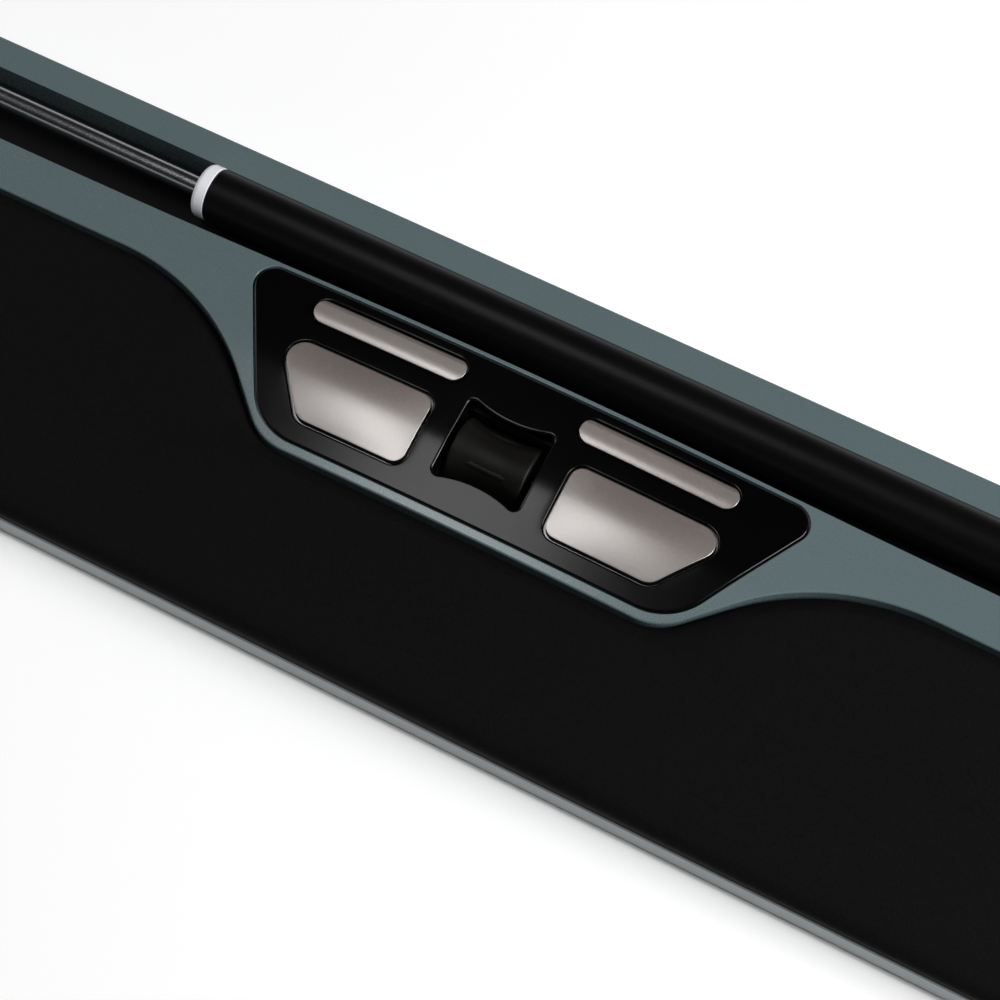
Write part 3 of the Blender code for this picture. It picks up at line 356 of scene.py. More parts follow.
floor_middle = (FOOT_LIFT + FLOOR_TOP) / 2
tray = plate("tray", outline(body_corners), side(FOOT_LIFT, FLOOR_TOP, foot=TRAY_FOOT_ROUND))
wall_side = side(floor_middle, TRAY_TOP, crest=TRAY_TOP_ROUND)
front_wall = plate("front_wall", outline(wall_corners), wall_side)
combine(tray, 'UNION', [front_wall])
board_posts = pegs("post", BOARD_POSTS, POST_RADIUS, side(floor_middle, POST_TOP))
guide_places = [(hand * GUIDE_X, GUIDE_Y) for hand in (-1, 1)]
wheel_guides = [block("guide", GUIDE_SIZE, middle, floor_middle, GUIDE_TOP) for middle in guide_places]
combine(tray, 'UNION', board_posts + wheel_guides)
tray_holes = pegs("hole", BASE_SCREWS, SCREW_HOLE, side(0, 2 * FLOOR_TOP))
tray_holes += pegs("post_hole", BOARD_POSTS, SCREW_HOLE, side(FLOOR_TOP, POST_HOLE_TOP))
combine(tray, 'DIFFERENCE', tray_holes)
combine(tray, 'DIFFERENCE', pegs("sink", BASE_SCREWS, SCREW_SINK, side(0, SINK_TOP)))
complete(tray, tray_grey_and_painted_light)
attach(tray, "housing")
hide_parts("lower_housing")

# Feet: six oblong rubber pads with rounded rims, stuck under the tray at its corners and its middle.
# They lift the housing one millimetre off the desk and keep it from creeping.
FOOT_SIZE = (0.024, 0.008)
FOOT_CORNER = 0.0027
FOOT_HEIGHT = 0.0007
FOOT_ROUND = 0.0003
FOOT_EDGE = 0.0001
FOOT_ROWS = (-0.0482, 0.0482)
FOOT_COLUMNS = (-0.200, 0.0, 0.200)
FOOT_PLACES = [(x, y, 0.0) for y in FOOT_ROWS for x in FOOT_COLUMNS]
RUBBER_BLACK = (0.022, 0.022, 0.023)


def copies(name, model, places, finish, axis=(0, 0, 1), step=0.0, turn=0.0, seed=1):
    """Copies of a model at places, each a step further round an axis and turned at random, as one mesh."""
    group = bpy.data.node_groups.new(name, 'GeometryNodeTree')
    sockets = {}
    for label, kind in (
        ("Places", 'NodeSocketGeometry'), ("Model", 'NodeSocketObject'), ("Finish", 'NodeSocketMaterial'),
        ("Axis", 'NodeSocketVector'), ("Step", 'NodeSocketFloat'), ("Turn", 'NodeSocketFloat'),
        ("Seed", 'NodeSocketInt'),
    ):
        sockets[label] = group.interface.new_socket(label, in_out='INPUT', socket_type=kind).identifier
    group.interface.new_socket("Copies", in_out='OUTPUT', socket_type='NodeSocketGeometry')
    tree = Tree(group)
    given = group.nodes.new('NodeGroupInput').outputs
    given = {socket.name: Value(tree, socket) for socket in given if socket.name}
    chance = tree.node('FunctionNodeRandomValue', {}, {2: 0.0, 3: given["Turn"], 8: given["Seed"]}, 1)
    angle = chance + tree.node('GeometryNodeInputIndex') * given["Step"]
    lean = tree.node('ShaderNodeVectorMath', {'operation': 'SCALE'}, {0: given["Axis"], 'Scale': angle})
    model_mesh = tree.node('GeometryNodeObjectInfo', {}, {'Object': given["Model"]}, 'Geometry')
    spread = tree.node('GeometryNodeInstanceOnPoints', {}, {
        'Points': given["Places"],
        'Instance': model_mesh,
        'Rotation': tree.node('FunctionNodeEulerToRotation', {}, {0: lean}),
    })
    whole = tree.node('GeometryNodeRealizeInstances', {}, {0: spread})
    dressed = tree.node('GeometryNodeSetMaterial', {}, {'Geometry': whole, 'Material': given["Finish"]})
    tree.node('NodeGroupOutput', {}, {0: dressed})
    points = bpy.data.meshes.new(name)
    points.from_pydata(places, [], [])
    obj = add_object(name, points)
    modifier = obj.modifiers.new(name, 'NODES')
    modifier.node_group = group
    inputs = {"Model": model, "Finish": finish, "Axis": axis, "Step": step, "Turn": turn, "Seed": seed}
    for label, value in inputs.items():
        modifier[sockets[label]] = value
    mesh = worked_out(obj)
    obj.modifiers.clear()
    obj.data = mesh
    bpy.data.objects.remove(model)
    return obj


foot_rubber = moulded("foot_rubber", RUBBER_BLACK, roughness=0.82, grain=0.00002)
foot_side = side(0, FOOT_HEIGHT, foot=FOOT_ROUND, crest=FOOT_EDGE)
foot_model = plate("foot_model", outline(rectangle(*FOOT_SIZE, FOOT_CORNER)), foot_side)
feet = copies("rubber_feet", foot_model, FOOT_PLACES, foot_rubber)
complete(feet, foot_rubber)
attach(feet, "housing")
foot_words = ("left", "middle", "right")
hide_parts(*[f"{row}_{word}_foot" for row in ("front", "rear") for word in foot_words])

# Circuit board: glass-fibre board with a black solder mask, four push switches for the buttons, one
# for the wheel, a controller and the motion sensor that reads the bar through a dark window.
MASK_BLACK = (0.0022, 0.0034, 0.0027)
COPPER_BLACK = (0.0040, 0.0062, 0.0048)
STEEL = (0.56, 0.57, 0.59)
BLACKENED = (0.020, 0.020, 0.022)
INNER_BLACK = (0.0035, 0.0035, 0.0037)
WINDOW_BLACK = (0.010, 0.006, 0.008)


def ground_metal(name, colour, roughness, lines):
    """Metal with fine grinding lines, as close along X, Y and Z as the three shares in lines say."""
    finish, tree, shader, where = surface(name, Metallic=1.0)
    along = tree.node('ShaderNodeMapping', {}, {'Vector': where, 'Scale': lines})
    streak = tree.noise(along, scale=900.0, detail=3.0)
    cloud = tree.noise(where, scale=160.0)
    tree.feed(shader, {
        "Base Color": tree.mix(streak, tinted(colour, 0.86), tinted(colour, 1.08)),
        "Roughness": roughness - 0.06 + streak * 0.08 + cloud * 0.06,
        "Normal": tree.bump(streak, depth=0.000002),
    })
    return finish


def dress(finish, *nodes):
    """Give CAD nodes that keep their own shape a finish."""
    for node in nodes:
        for slot in frame["nodes"][node].material_slots:
            slot.material = finish


board_mask, board_tree, board_shader, board_place = surface("board_mask", Specular_IOR_Level=0.12)
board_cells = board_tree.node(
    'ShaderNodeTexBrick', {'offset': 0.5}, {'Vector': board_place, 'Scale': 420.0, 'Mortar Size': 0.08}, 'Fac'
)
board_weave = board_tree.noise(board_place, scale=1500.0)
board_tree.feed(board_shader, {
    "Base Color": board_tree.mix(board_cells * 0.8 + board_weave * 0.2, MASK_BLACK, COPPER_BLACK),
    "Roughness": 0.28 + board_weave * 0.14,
    "Normal": board_tree.bump(board_cells, depth=0.00002),
})
dress(board_mask, "circuit_board", "wheel_encoder")
inner_black = moulded("inner_black", INNER_BLACK, roughness=0.5, grain=0.00001, gloss=0.12)
dress(inner_black, "left_click_switch", "right_click_switch", "left_bar_switch", "right_bar_switch")
dress(inner_black, "wheel_switch", "controller_chip", "motion_sensor", "wheel_carriage")
bright_steel = ground_metal("bright_steel", STEEL, roughness=0.26, lines=(0.08, 1.0, 1.0))
dress(bright_steel, *[f"board_screw_{number}" for number in range(1, len(BOARD_POSTS) + 1)])
dark_steel = ground_metal("dark_steel", BLACKENED, roughness=0.34, lines=(0.08, 1.0, 1.0))
dress(dark_steel, "wheel_axle")
dark_window = moulded("dark_window", WINDOW_BLACK, roughness=0.08, grain=0.000001)
dress(dark_window, "sensor_window")

# Scroll wheel: turned black plastic, waisted in the middle, with four slim ribs for the fingertip.
# It sits on a steel axle in a sprung carriage, so that it can be pressed as well as turned.
WHEEL_CENTRE = Vector((0.0, 0.00745, 0.0126))
WHEEL_HALF_WIDTH = 0.0097
WHEEL_MID_RADIUS = 0.0070
WHEEL_END_RADIUS = 0.0086
WHEEL_EDGE = 0.0008
WHEEL_EDGE_ROUND = 0.0006
WHEEL_EDGE_RISE = 0.0001
WHEEL_BORE = 0.0018
WHEEL_BORE_ROUND = 0.0002
WHEEL_STATIONS = 12
RIB_COUNT = 4
RIB_LEAN = math.radians(7)
RIB_CREST = 0.00745
RIB_RADIUS = 0.0009
RIB_LENGTH = 0.0140
RIB_ROUND = 0.0004
WHEEL_BLACK = (0.0046, 0.0043, 0.0034)


def turned(name, corners, centre, axis='X', sides=64, steps=4):
    """A shape turned about an axis through a centre; its profile's corners are (along, radius, round)."""
    rings = []
    for (along, radius), _ in outline(corners, steps):
        ring = []
        for number in range(sides):
            angle = 2 * math.pi * number / sides
            across, upwards = radius * math.cos(angle), radius * math.sin(angle)
            point = (along, across, upwards) if axis == 'X' else (across, upwards, along)
            ring.append(Vector(point) + centre)
        rings.append(ring)
    return loft(name, rings, bored=True)


def rod(start, end, radius, start_round, end_round, bore=0, bore_round=0):
    """Profile of a plain rod or tube with rounded edges."""
    return [
        (start, bore, bore_round),
        (end, bore, bore_round),
        (end, radius, end_round),
        (start, radius, start_round),
    ]


def saddle(x):
    """Radius of the wheel at a distance from its middle."""
    return WHEEL_MID_RADIUS + (WHEEL_END_RADIUS - WHEEL_MID_RADIUS) * (x / WHEEL_HALF_WIDTH) ** 2


wheel_finish, wheel_tree, wheel_shader, wheel_place = surface("wheel_finish", Specular_IOR_Level=0.18)
wheel_grain = wheel_tree.noise(wheel_place, scale=3000.0, detail=3.0)
wheel_smear = wheel_tree.noise(wheel_place, scale=260.0)
wheel_tree.feed(wheel_shader, {
    "Base Color": wheel_tree.mix(wheel_grain, tinted(WHEEL_BLACK, 0.7), tinted(WHEEL_BLACK, 1.3)),
    "Roughness": 0.40 + wheel_smear * 0.08 + wheel_grain * 0.06,
    "Normal": wheel_tree.bump(wheel_grain, depth=0.000003),
})
wheel_flank = WHEEL_HALF_WIDTH - WHEEL_EDGE
wheel_rim = saddle(wheel_flank) + WHEEL_EDGE_RISE
wheel_stations = [wheel_flank * (1 - number / WHEEL_STATIONS) for number in range(1, 2 * WHEEL_STATIONS)]
wheel_profile = [
    (-WHEEL_HALF_WIDTH, WHEEL_BORE, WHEEL_BORE_ROUND),
    (WHEEL_HALF_WIDTH, WHEEL_BORE, WHEEL_BORE_ROUND),
    (WHEEL_HALF_WIDTH, wheel_rim, WHEEL_EDGE_ROUND),
    *[(x, saddle(x), 0) for x in wheel_stations],
    (-WHEEL_HALF_WIDTH, wheel_rim, WHEEL_EDGE_ROUND),
]
wheel = turned("ribbed_wheel", wheel_profile, WHEEL_CENTRE, sides=96)
rib_seat = Vector((0, 0, RIB_CREST - RIB_RADIUS))
rib_profile = rod(-RIB_LENGTH / 2, RIB_LENGTH / 2, RIB_RADIUS, RIB_ROUND, RIB_ROUND)
rib_model = turned("rib_model", rib_profile, rib_seat, sides=24)
rib_step = 2 * math.pi / RIB_COUNT
rib_model.data.transform(Matrix.Rotation(rib_step / 2 - RIB_LEAN, 4, 'X'))
ribs = copies("ribs", rib_model, [WHEEL_CENTRE] * RIB_COUNT, wheel_finish, axis=(1, 0, 0), step=rib_step)
combine(wheel, 'UNION', [ribs])
complete(wheel, wheel_finish)
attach(wheel, "wheel")
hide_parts("scroll_wheel")

# Rail: a ground steel rod along the groove, on which the bar slides with a plastic glide tube inside it.
# It lies in two sprung holders, and a switch under each of them clicks when the bar is pressed.
AXIS = Vector((0.0, 0.0411, 0.0140))
RAIL_RADIUS = 0.0025
RAIL_END = 0.2025
RAIL_ROUND = 0.0004

rail_steel = ground_metal("rail_steel", STEEL, roughness=0.22, lines=(4.0, 0.1, 0.1))
rail_profile = rod(-RAIL_END, RAIL_END, RAIL_RADIUS, RAIL_ROUND, RAIL_ROUND)
rail = turned("ground_rail", rail_profile, AXIS, sides=48)
complete(rail, rail_steel)
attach(rail, "rail")
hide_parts("roller_rail")
dress(inner_black, "roller_glide", "left_roller_switch", "right_roller_switch", "groove_floor")

# Roller sleeve: a black tube with a fine pored grain, which the fingers push along the groove and turn.
# It runs on the glide tube, between two end rings.
ROLLER_RADIUS = 0.0070
SLEEVE_LEFT = -0.0992
SLEEVE_RIGHT = 0.1722
SLEEVE_WALL = 0.0015
SLEEVE_ROUND = 0.0002
RING_WIDTH = 0.0037
ROLLER_BLACK = (0.0036, 0.0033, 0.0034)

roller_skin, roller_tree, roller_shader, roller_place = surface("roller_skin", Specular_IOR_Level=0.11)
roller_pores = roller_tree.noise(roller_place, scale=2200.0, detail=4.0)
roller_wear = roller_tree.noise(roller_place, scale=90.0)
roller_tree.feed(roller_shader, {
    "Base Color": roller_tree.mix(roller_pores, tinted(ROLLER_BLACK, 0.6), tinted(ROLLER_BLACK, 1.4)),
    "Roughness": 0.30 + roller_wear * 0.05 + roller_pores * 0.06,
    "Normal": roller_tree.bump(roller_pores, depth=0.00003),
})
sleeve_bore = ROLLER_RADIUS - SLEEVE_WALL
sleeve_start = SLEEVE_LEFT + RING_WIDTH + FIT_GAP
sleeve_end = SLEEVE_RIGHT - RING_WIDTH - FIT_GAP
sleeve_size = (sleeve_start, sleeve_end, ROLLER_RADIUS, SLEEVE_ROUND, SLEEVE_ROUND)
sleeve_profile = rod(*sleeve_size, bore=sleeve_bore, bore_round=SLEEVE_ROUND)
sleeve = turned("grained_sleeve", sleeve_profile, AXIS, sides=96)
complete(sleeve, roller_skin)
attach(sleeve, "roller")
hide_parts("roller_sleeve")

# Roller rings: two satin rings moulded in pale grey plastic, one at each end of the sleeve. They turn with
# it, and their outer edges are well rounded.
RING_BORE = 0.0031
RING_BORE_ROUND = 0.0003
RING_OUTER_ROUND = 0.0014
RING_INNER_ROUND = 0.0002
RING_GREY = (0.88, 0.90, 0.94)

ring_satin = moulded("ring_satin", RING_GREY, roughness=0.34, grain=0.000004)
for word, start, rounds in (
    ("left", SLEEVE_LEFT, (RING_OUTER_ROUND, RING_INNER_ROUND)),
    ("right", SLEEVE_RIGHT - RING_WIDTH, (RING_INNER_ROUND, RING_OUTER_ROUND)),
):
    ring_size = (start, start + RING_WIDTH, ROLLER_RADIUS, *rounds)
    ring_profile = rod(*ring_size, bore=RING_BORE, bore_round=RING_BORE_ROUND)
    ring = turned(word + "_end_ring", ring_profile, AXIS, sides=96, steps=6)
    complete(ring, ring_satin)
    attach(ring, "roller")
    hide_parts(word + "_roller_ring")

# Rail bumpers: soft rubber rings that are slipped over the rail, one at each end. They stop the bar at the
# end of its slide.
BUMPER_INNER = 0.1925
BUMPER_WIDTH = 0.0029
BUMPER_RADIUS = 0.0050
BUMPER_ROUND = 0.0006
BUMPER_BORE_ROUND = 0.0002
HANDS = (("left", -1), ("right", 1))

bumper_rubber = moulded("bumper_rubber", RUBBER_BLACK, roughness=0.78, grain=0.00002)
rail_hole = RAIL_RADIUS + FIT_GAP
for word, hand in HANDS:
    bumper_ends = sorted((hand * BUMPER_INNER, hand * (BUMPER_INNER + BUMPER_WIDTH)))
    bumper_size = (*bumper_ends, BUMPER_RADIUS, BUMPER_ROUND, BUMPER_ROUND)
    bumper_profile = rod(*bumper_size, bore=rail_hole, bore_round=BUMPER_BORE_ROUND)
    bumper = turned(word + "_stop_ring", bumper_profile, AXIS, sides=48)
    complete(bumper, bumper_rubber)
    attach(bumper, "rail")
    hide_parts(word + "_rail_bumper")

# Rail holders: small sprung blocks of black plastic, with a blind hole for the end of the rail. They go
# down with the rail when the bar is pressed.
HOLDER_INNER = 0.1960
HOLDER_LENGTH = 0.0120
HOLDER_SIZE = 0.0080
HOLDER_CORNER = 0.0008
HOLDER_ROUND = 0.0004
SEAT_DEPTH = 0.0068
CUT_START = 0.002

upright = Matrix(((0, 0, 1, 0), (1, 0, 0, AXIS.y), (0, 1, 0, AXIS.z), (0, 0, 0, 1)))


def along_rail(name, edge, hand, inner, outer, rounding=0.0):
    """A piece that lies along the rail on one hand, between two distances from its middle."""
    low, high = sorted((hand * inner, hand * outer))
    piece = plate(name, edge, side(low, high, foot=rounding, crest=rounding))
    piece.data.transform(upright)
    return piece


holder_edge = outline(rectangle(HOLDER_SIZE, HOLDER_SIZE, HOLDER_CORNER), steps=4)
holder_outer = HOLDER_INNER + HOLDER_LENGTH
seat_edge = circle(0, 0, rail_hole, sides=48)
for word, hand in HANDS:
    holder = along_rail(word + "_sprung_block", holder_edge, hand, HOLDER_INNER, holder_outer, HOLDER_ROUND)
    seat = along_rail("seat", seat_edge, hand, HOLDER_INNER - CUT_START, HOLDER_INNER + SEAT_DEPTH)
    combine(holder, 'DIFFERENCE', [seat])
    complete(holder, inner_black)
    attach(holder, "rail")
    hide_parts(word + "_rail_holder")

# Rail caps: black plastic hoods over the holders, rounded on top like the bar. They stand on the floor of
# the groove at its two ends and leave room for the holders to go down.
CAP_INNER = 0.1957
CAP_OUTER = 0.2157
CAP_FOOT = 0.0058
CAP_FOOT_CORNER = 0.0004
CAP_ROUND = 0.0006
CAP_FLOOR = 0.0012
ARCH_FLAT = 0.00001

cap_black = moulded("cap_black", INNER_BLACK, roughness=0.42, grain=0.000008, gloss=0.3)
arch_radius = ROLLER_RADIUS - ARCH_FLAT
arch_corners = [
    (ROLLER_RADIUS, CAP_FOOT - AXIS.z, CAP_FOOT_CORNER),
    (ROLLER_RADIUS, ROLLER_RADIUS, arch_radius),
    (-ROLLER_RADIUS, ROLLER_RADIUS, arch_radius),
    (-ROLLER_RADIUS, CAP_FOOT - AXIS.z, CAP_FOOT_CORNER),
]
room_half = HOLDER_SIZE / 2 + FIT_GAP
room_foot = CAP_FOOT + CAP_FLOOR - AXIS.z
room_middle = (0, (room_half + room_foot) / 2)
room_edge = outline(rectangle(2 * room_half, room_half - room_foot, 0, room_middle))
cap_edge = outline(arch_corners)
for word, hand in HANDS:
    cap = along_rail(word + "_end_cap", cap_edge, hand, CAP_INNER, CAP_OUTER, CAP_ROUND)
    holder_room = along_rail("holder_room", room_edge, hand, CAP_INNER - CUT_START, holder_outer + FIT_GAP)
    combine(cap, 'DIFFERENCE', [holder_room])
    complete(cap, cap_black)
    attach(cap, "housing")
    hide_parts(word + "_rail_cap")

# Upper housing: a shell moulded in blue-grey plastic, gently crowned from end to end and falling away at
# the front of the panel. It is open at the pocket and at the groove, has a low strip behind the bar, and
# stands on bosses that take the screws from the tray.
SHELL_FOOT = 0.0033
SHELL_WALL = 0.0020
DECK_TOP = 0.0200
DECK_ROUND = 0.0005
DECK_CORNER = 0.0034
CEILING = 0.0166
BEND_LEVEL = 0.0163
STRIP_HEIGHT = 0.0134
STRIP_SKIN = 0.0022
STRIP_ROUND = 0.0006
STRIP_CORNER = 0.0115
STRIP_OVERLAP = 0.0040
LIP_ROUND = 0.00015
POCKET_ROUND = 0.00015
GROOVE_FRONT = 0.0301
GROOVE_REAR = 0.0491
GROOVE_END = 0.2160
GROOVE_CORNER = 0.0008
POCKET_REAR = 0.0291
POCKET_REAR_X = 0.0778
POCKET_REAR_CORNER = 0.0052
POCKET_FRONT = -0.0109
POCKET_FRONT_X = 0.0546
POCKET_FRONT_CORNER = 0.0160
POCKET_FLOOR = 0.0181
LEDGE = 0.0015
LEDGE_LOW = 0.0146
RIM_FRONT = -0.0132
RIM_FRONT_X = 0.0522
RIM_CORNER = 0.0150
WING_BEND_X = 0.0836
WING_BEND = 0.0620
BOSS_RADIUS = 0.0030
BOSS_TOP = 0.01745
BOSS_HOLE_TOP = 0.0095
WINDOW_HOLE = (0.0086, 0.0060)
WINDOW_MIDDLE = (0, 0.0291)
WINDOW_SPAN = (0.0087, 0.0123)
SOCKET_X = -0.150
SOCKET_HOLE = (0.0096, 0.0060)
SOCKET_SPAN = (0.0060, 0.0098)
CROWN_DROP = 0.0050
CROWN_CURVE = 0.54
NOSE_Y = 0.0054
NOSE_SLOPE = 0.145
NOSE_BEND = 0.0025
NOSE_REAR = 0.0132
CROWN_STEP = 0.008
NOSE_STEP = 0.0008
CUT_TOP = 0.0230
CUT_BOTTOM = 0.0013
HOUSING_GREY = (0.112, 0.155, 0.164)


def crown(x):
    """How far the deck lies below its middle, towards its two ends."""
    return CROWN_DROP * math.tanh(CROWN_CURVE * x * x / CROWN_DROP)


def nose(y):
    """How far the front of the deck lies below its middle, past a soft bend."""
    past = NOSE_Y - y
    return NOSE_SLOPE * (past + math.hypot(past, NOSE_BEND)) / 2


def shape_top(obj, x_cuts, y_cuts, lift):
    """Slice a piece along X and Y, then raise each point by lift(point)."""
    bm = bmesh.new()
    bm.from_mesh(obj.data)
    planes = [((x, 0, 0), (1, 0, 0)) for x in x_cuts] + [((0, y, 0), (0, 1, 0)) for y in y_cuts]
    for point, normal in planes:
        whole = bm.verts[:] + bm.edges[:] + bm.faces[:]
        bmesh.ops.bisect_plane(bm, geom=whole, dist=MERGE_GAP, plane_co=point, plane_no=normal)
    for vert in bm.verts:
        vert.co.z += lift(vert.co)
    bm.to_mesh(obj.data)
    bm.free()


def deck_lift(point):
    """Change of height that lays a flat piece onto the deck; lower points stay under the ceiling."""
    drop = crown(point.x) + nose(point.y)
    if point.z >= BEND_LEVEL:
        return -drop
    if point.y > GROOVE_FRONT + FIT_GAP:
        return 0
    return min(0, CEILING - drop - point.z)


def drape(obj):
    """Lay a flat piece onto the crown and the nose of the deck."""
    reach = int(HALF_LENGTH / CROWN_STEP)
    x_cuts = [CROWN_STEP * number for number in range(-reach, reach + 1)]
    rows = int((NOSE_REAR - RIM_FRONT) / NOSE_STEP) + 1
    y_cuts = [NOSE_REAR - NOSE_STEP * number for number in range(rows)]
    shape_top(obj, x_cuts, y_cuts, deck_lift)


def opening(name, edge, low, high, flare):
    """A cutter whose upper edge leaves a rounded rim at a height."""
    return plate(name, edge, [*side(low, high, crest=-flare), (flare, CUT_TOP)])


def inset(edge, distance):
    """An outline moved inwards."""
    return [(point - normal * distance, normal) for point, normal in edge]


housing_grey = moulded("housing_grey", HOUSING_GREY, roughness=0.27, grain=0.000003, gloss=0.72)
rim_corners = [
    (-HALF_LENGTH, WING_FRONT, 0),
    (-WING_BEND_X, WING_FRONT, WING_BEND),
    (-RIM_FRONT_X, RIM_FRONT, RIM_CORNER),
    (RIM_FRONT_X, RIM_FRONT, RIM_CORNER),
    (WING_BEND_X, WING_FRONT, WING_BEND),
    (HALF_LENGTH, WING_FRONT, 0),
]
pocket_corners = [
    (-POCKET_FRONT_X, POCKET_FRONT, POCKET_FRONT_CORNER),
    (POCKET_FRONT_X, POCKET_FRONT, POCKET_FRONT_CORNER),
    (POCKET_REAR_X, POCKET_REAR, POCKET_REAR_CORNER),
    (-POCKET_REAR_X, POCKET_REAR, POCKET_REAR_CORNER),
]
deck_corners = [
    *rim_corners,
    (HALF_LENGTH, GROOVE_REAR, DECK_CORNER),
    (-HALF_LENGTH, GROOVE_REAR, DECK_CORNER),
]
strip_start = GROOVE_REAR - STRIP_OVERLAP
strip_corners = [
    (-HALF_LENGTH, strip_start, 0),
    (HALF_LENGTH, strip_start, 0),
    (HALF_LENGTH, REAR_Y, STRIP_CORNER),
    (-HALF_LENGTH, REAR_Y, STRIP_CORNER),
]
shell_side = side(SHELL_FOOT, DECK_TOP, crest=DECK_ROUND, steps=8)
shell = plate("deck_shell", outline(deck_corners, steps=20), shell_side)
strip = plate("strip", outline(strip_corners), side(SHELL_FOOT, STRIP_HEIGHT, crest=STRIP_ROUND))
combine(shell, 'UNION', [strip])
hollow_corners = [*rim_corners, (HALF_LENGTH, GROOVE_FRONT, 0), (-HALF_LENGTH, GROOVE_FRONT, 0)]
deck_hollow = plate("deck_hollow", inset(outline(hollow_corners), SHELL_WALL), side(CUT_BOTTOM, CEILING))
strip_hollow_middle = (0, (GROOVE_REAR + REAR_Y) / 2)
strip_hollow_size = (2 * (HALF_LENGTH - BODY_CORNER - SHELL_WALL), REAR_Y - GROOVE_REAR - 2 * SHELL_WALL)
strip_ceiling = STRIP_HEIGHT - STRIP_SKIN
strip_hollow = block("strip_hollow", strip_hollow_size, strip_hollow_middle, CUT_BOTTOM, strip_ceiling)
groove_middle = (0, (GROOVE_FRONT + GROOVE_REAR) / 2)
groove_size = (2 * GROOVE_END, GROOVE_REAR - GROOVE_FRONT)
groove_edge = outline(rectangle(*groove_size, GROOVE_CORNER, groove_middle), steps=6)
groove = opening("groove", groove_edge, CUT_BOTTOM, DECK_TOP, LIP_ROUND)
combine(shell, 'DIFFERENCE', [deck_hollow, strip_hollow])
combine(shell, 'DIFFERENCE', [groove])
pocket_edge = outline(pocket_corners, steps=16)
combine(shell, 'DIFFERENCE', [opening("pocket", pocket_edge, POCKET_FLOOR, DECK_TOP, POCKET_ROUND)])
combine(shell, 'DIFFERENCE', [plate("pocket_opening", inset(pocket_edge, LEDGE), side(LEDGE_LOW, CUT_TOP))])
combine(shell, 'UNION', pegs("boss", BASE_SCREWS, BOSS_RADIUS, side(SHELL_FOOT, BOSS_TOP)))
boss_holes = pegs("boss_hole", BASE_SCREWS, SCREW_HOLE, side(CUT_BOTTOM, BOSS_HOLE_TOP))
window_hole = block("window_hole", WINDOW_HOLE, WINDOW_MIDDLE, *WINDOW_SPAN)
socket_hole = block("socket_hole", SOCKET_HOLE, (SOCKET_X, REAR_Y), *SOCKET_SPAN)
combine(shell, 'DIFFERENCE', [*boss_holes, window_hole, socket_hole])
drape(shell)
complete(shell, housing_grey)
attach(shell, "housing")
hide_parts("upper_housing")

# Click and bar buttons: caps moulded in black plastic, their tops sprayed with warm silver paint; the silver
# fades to black where a top rolls steeply away, which is painted shade. Each has a flange that the panel
# holds down, and a stem that stands over its switch on the board.
FLANGE_TOP = 0.0181
FLANGE_BOTTOM = 0.0167
STEM_BOTTOM = 0.0141
STEM_RADIUS = 0.0020
STEM_ROUND = 0.0003
BUTTON_GAP = 0.0004
BUTTON_ROUND = 0.00014
TOP_COLUMNS = 12
TOP_ROWS = 14
PAINTED_TILT = 0.4
# Painted shade: between these two heights of a face's normal the silver fades to black, darkest on the most
# tilted faces.
PAINTED_SHADE_FULL = 0.60
PAINTED_SHADE_NONE = 0.97
FLANGE_REACH = 0.0015
CLICK_INNER_X = 0.0184
CLICK_FRONT_X = 0.0466
CLICK_REAR_X = 0.0611
CLICK_FRONT = -0.0051
CLICK_REAR = 0.0139
CLICK_INNER_CORNER = 0.0033
CLICK_FRONT_CORNER = 0.0050
CLICK_REAR_CORNER = 0.0045
CLICK_INSET = 0.00025
CLICK_PROUD = 0.0003
CLICK_DOME = 0.0010
BAR_SIZE = (0.0408, 0.00615)
BAR_CORNER = 0.00307
BAR_MIDDLE = (0.0358, 0.022725)
BAR_INSET = -0.00012
BAR_PROUD = 0.0007
BAR_FRONT_FALL = 0.00040
BAR_REAR_FALL = 0.00130
SILVER_DARK = (0.120, 0.096, 0.085)
SILVER_LIGHT = (0.316, 0.257, 0.230)
SILVER_IOR = 3.7

silver_paint_and_shade, silver_tree, silver_shader, silver_place = surface("silver_paint_and_shade", IOR=SILVER_IOR)
silver_cells = silver_tree.node(
    'ShaderNodeTexVoronoi', {'feature': 'F1'}, {'Vector': silver_place, 'Scale': 2400.0}, 'Color'
)
silver_flake = silver_tree.node('ShaderNodeSeparateColor', {}, {0: silver_cells})
silver_mist = silver_tree.noise(silver_place, scale=2600.0, detail=3.0)
# This attribute carries the paint cover and the painted shade on tilted faces.
silver_cover_and_shade = silver_tree.node('ShaderNodeAttribute', {'attribute_name': "paint_and_shade"}, output='Fac')
silver_colour = silver_tree.mix(silver_flake * 0.6 + silver_mist * 0.4, SILVER_DARK, SILVER_LIGHT)
silver_coats = {0: silver_cover_and_shade, 6: (*INNER_BLACK, 1), 7: silver_colour}
silver_tree.feed(silver_shader, {
    "Base Color": silver_tree.node('ShaderNodeMix', {'data_type': 'RGBA'}, silver_coats, 2),
    "Metallic": silver_cover_and_shade * (0.10 + silver_flake * 0.20),
    "Roughness": 0.31 + silver_mist * 0.10,
    "Normal": silver_tree.bump(silver_mist, depth=0.00001),
})
click_corners = [
    (CLICK_INNER_X, CLICK_FRONT, CLICK_INNER_CORNER),
    (CLICK_FRONT_X, CLICK_FRONT, CLICK_FRONT_CORNER),
    (CLICK_REAR_X, CLICK_REAR, CLICK_REAR_CORNER),
    (CLICK_INNER_X, CLICK_REAR, CLICK_INNER_CORNER),
]
bar_corners = rectangle(*BAR_SIZE, BAR_CORNER, BAR_MIDDLE)


def handed(corners, hand):
    """The right-hand outline, or its mirror image for the left hand."""
    if hand > 0:
        return corners
    return [(-x, y, radius) for x, y, radius in reversed(corners)]


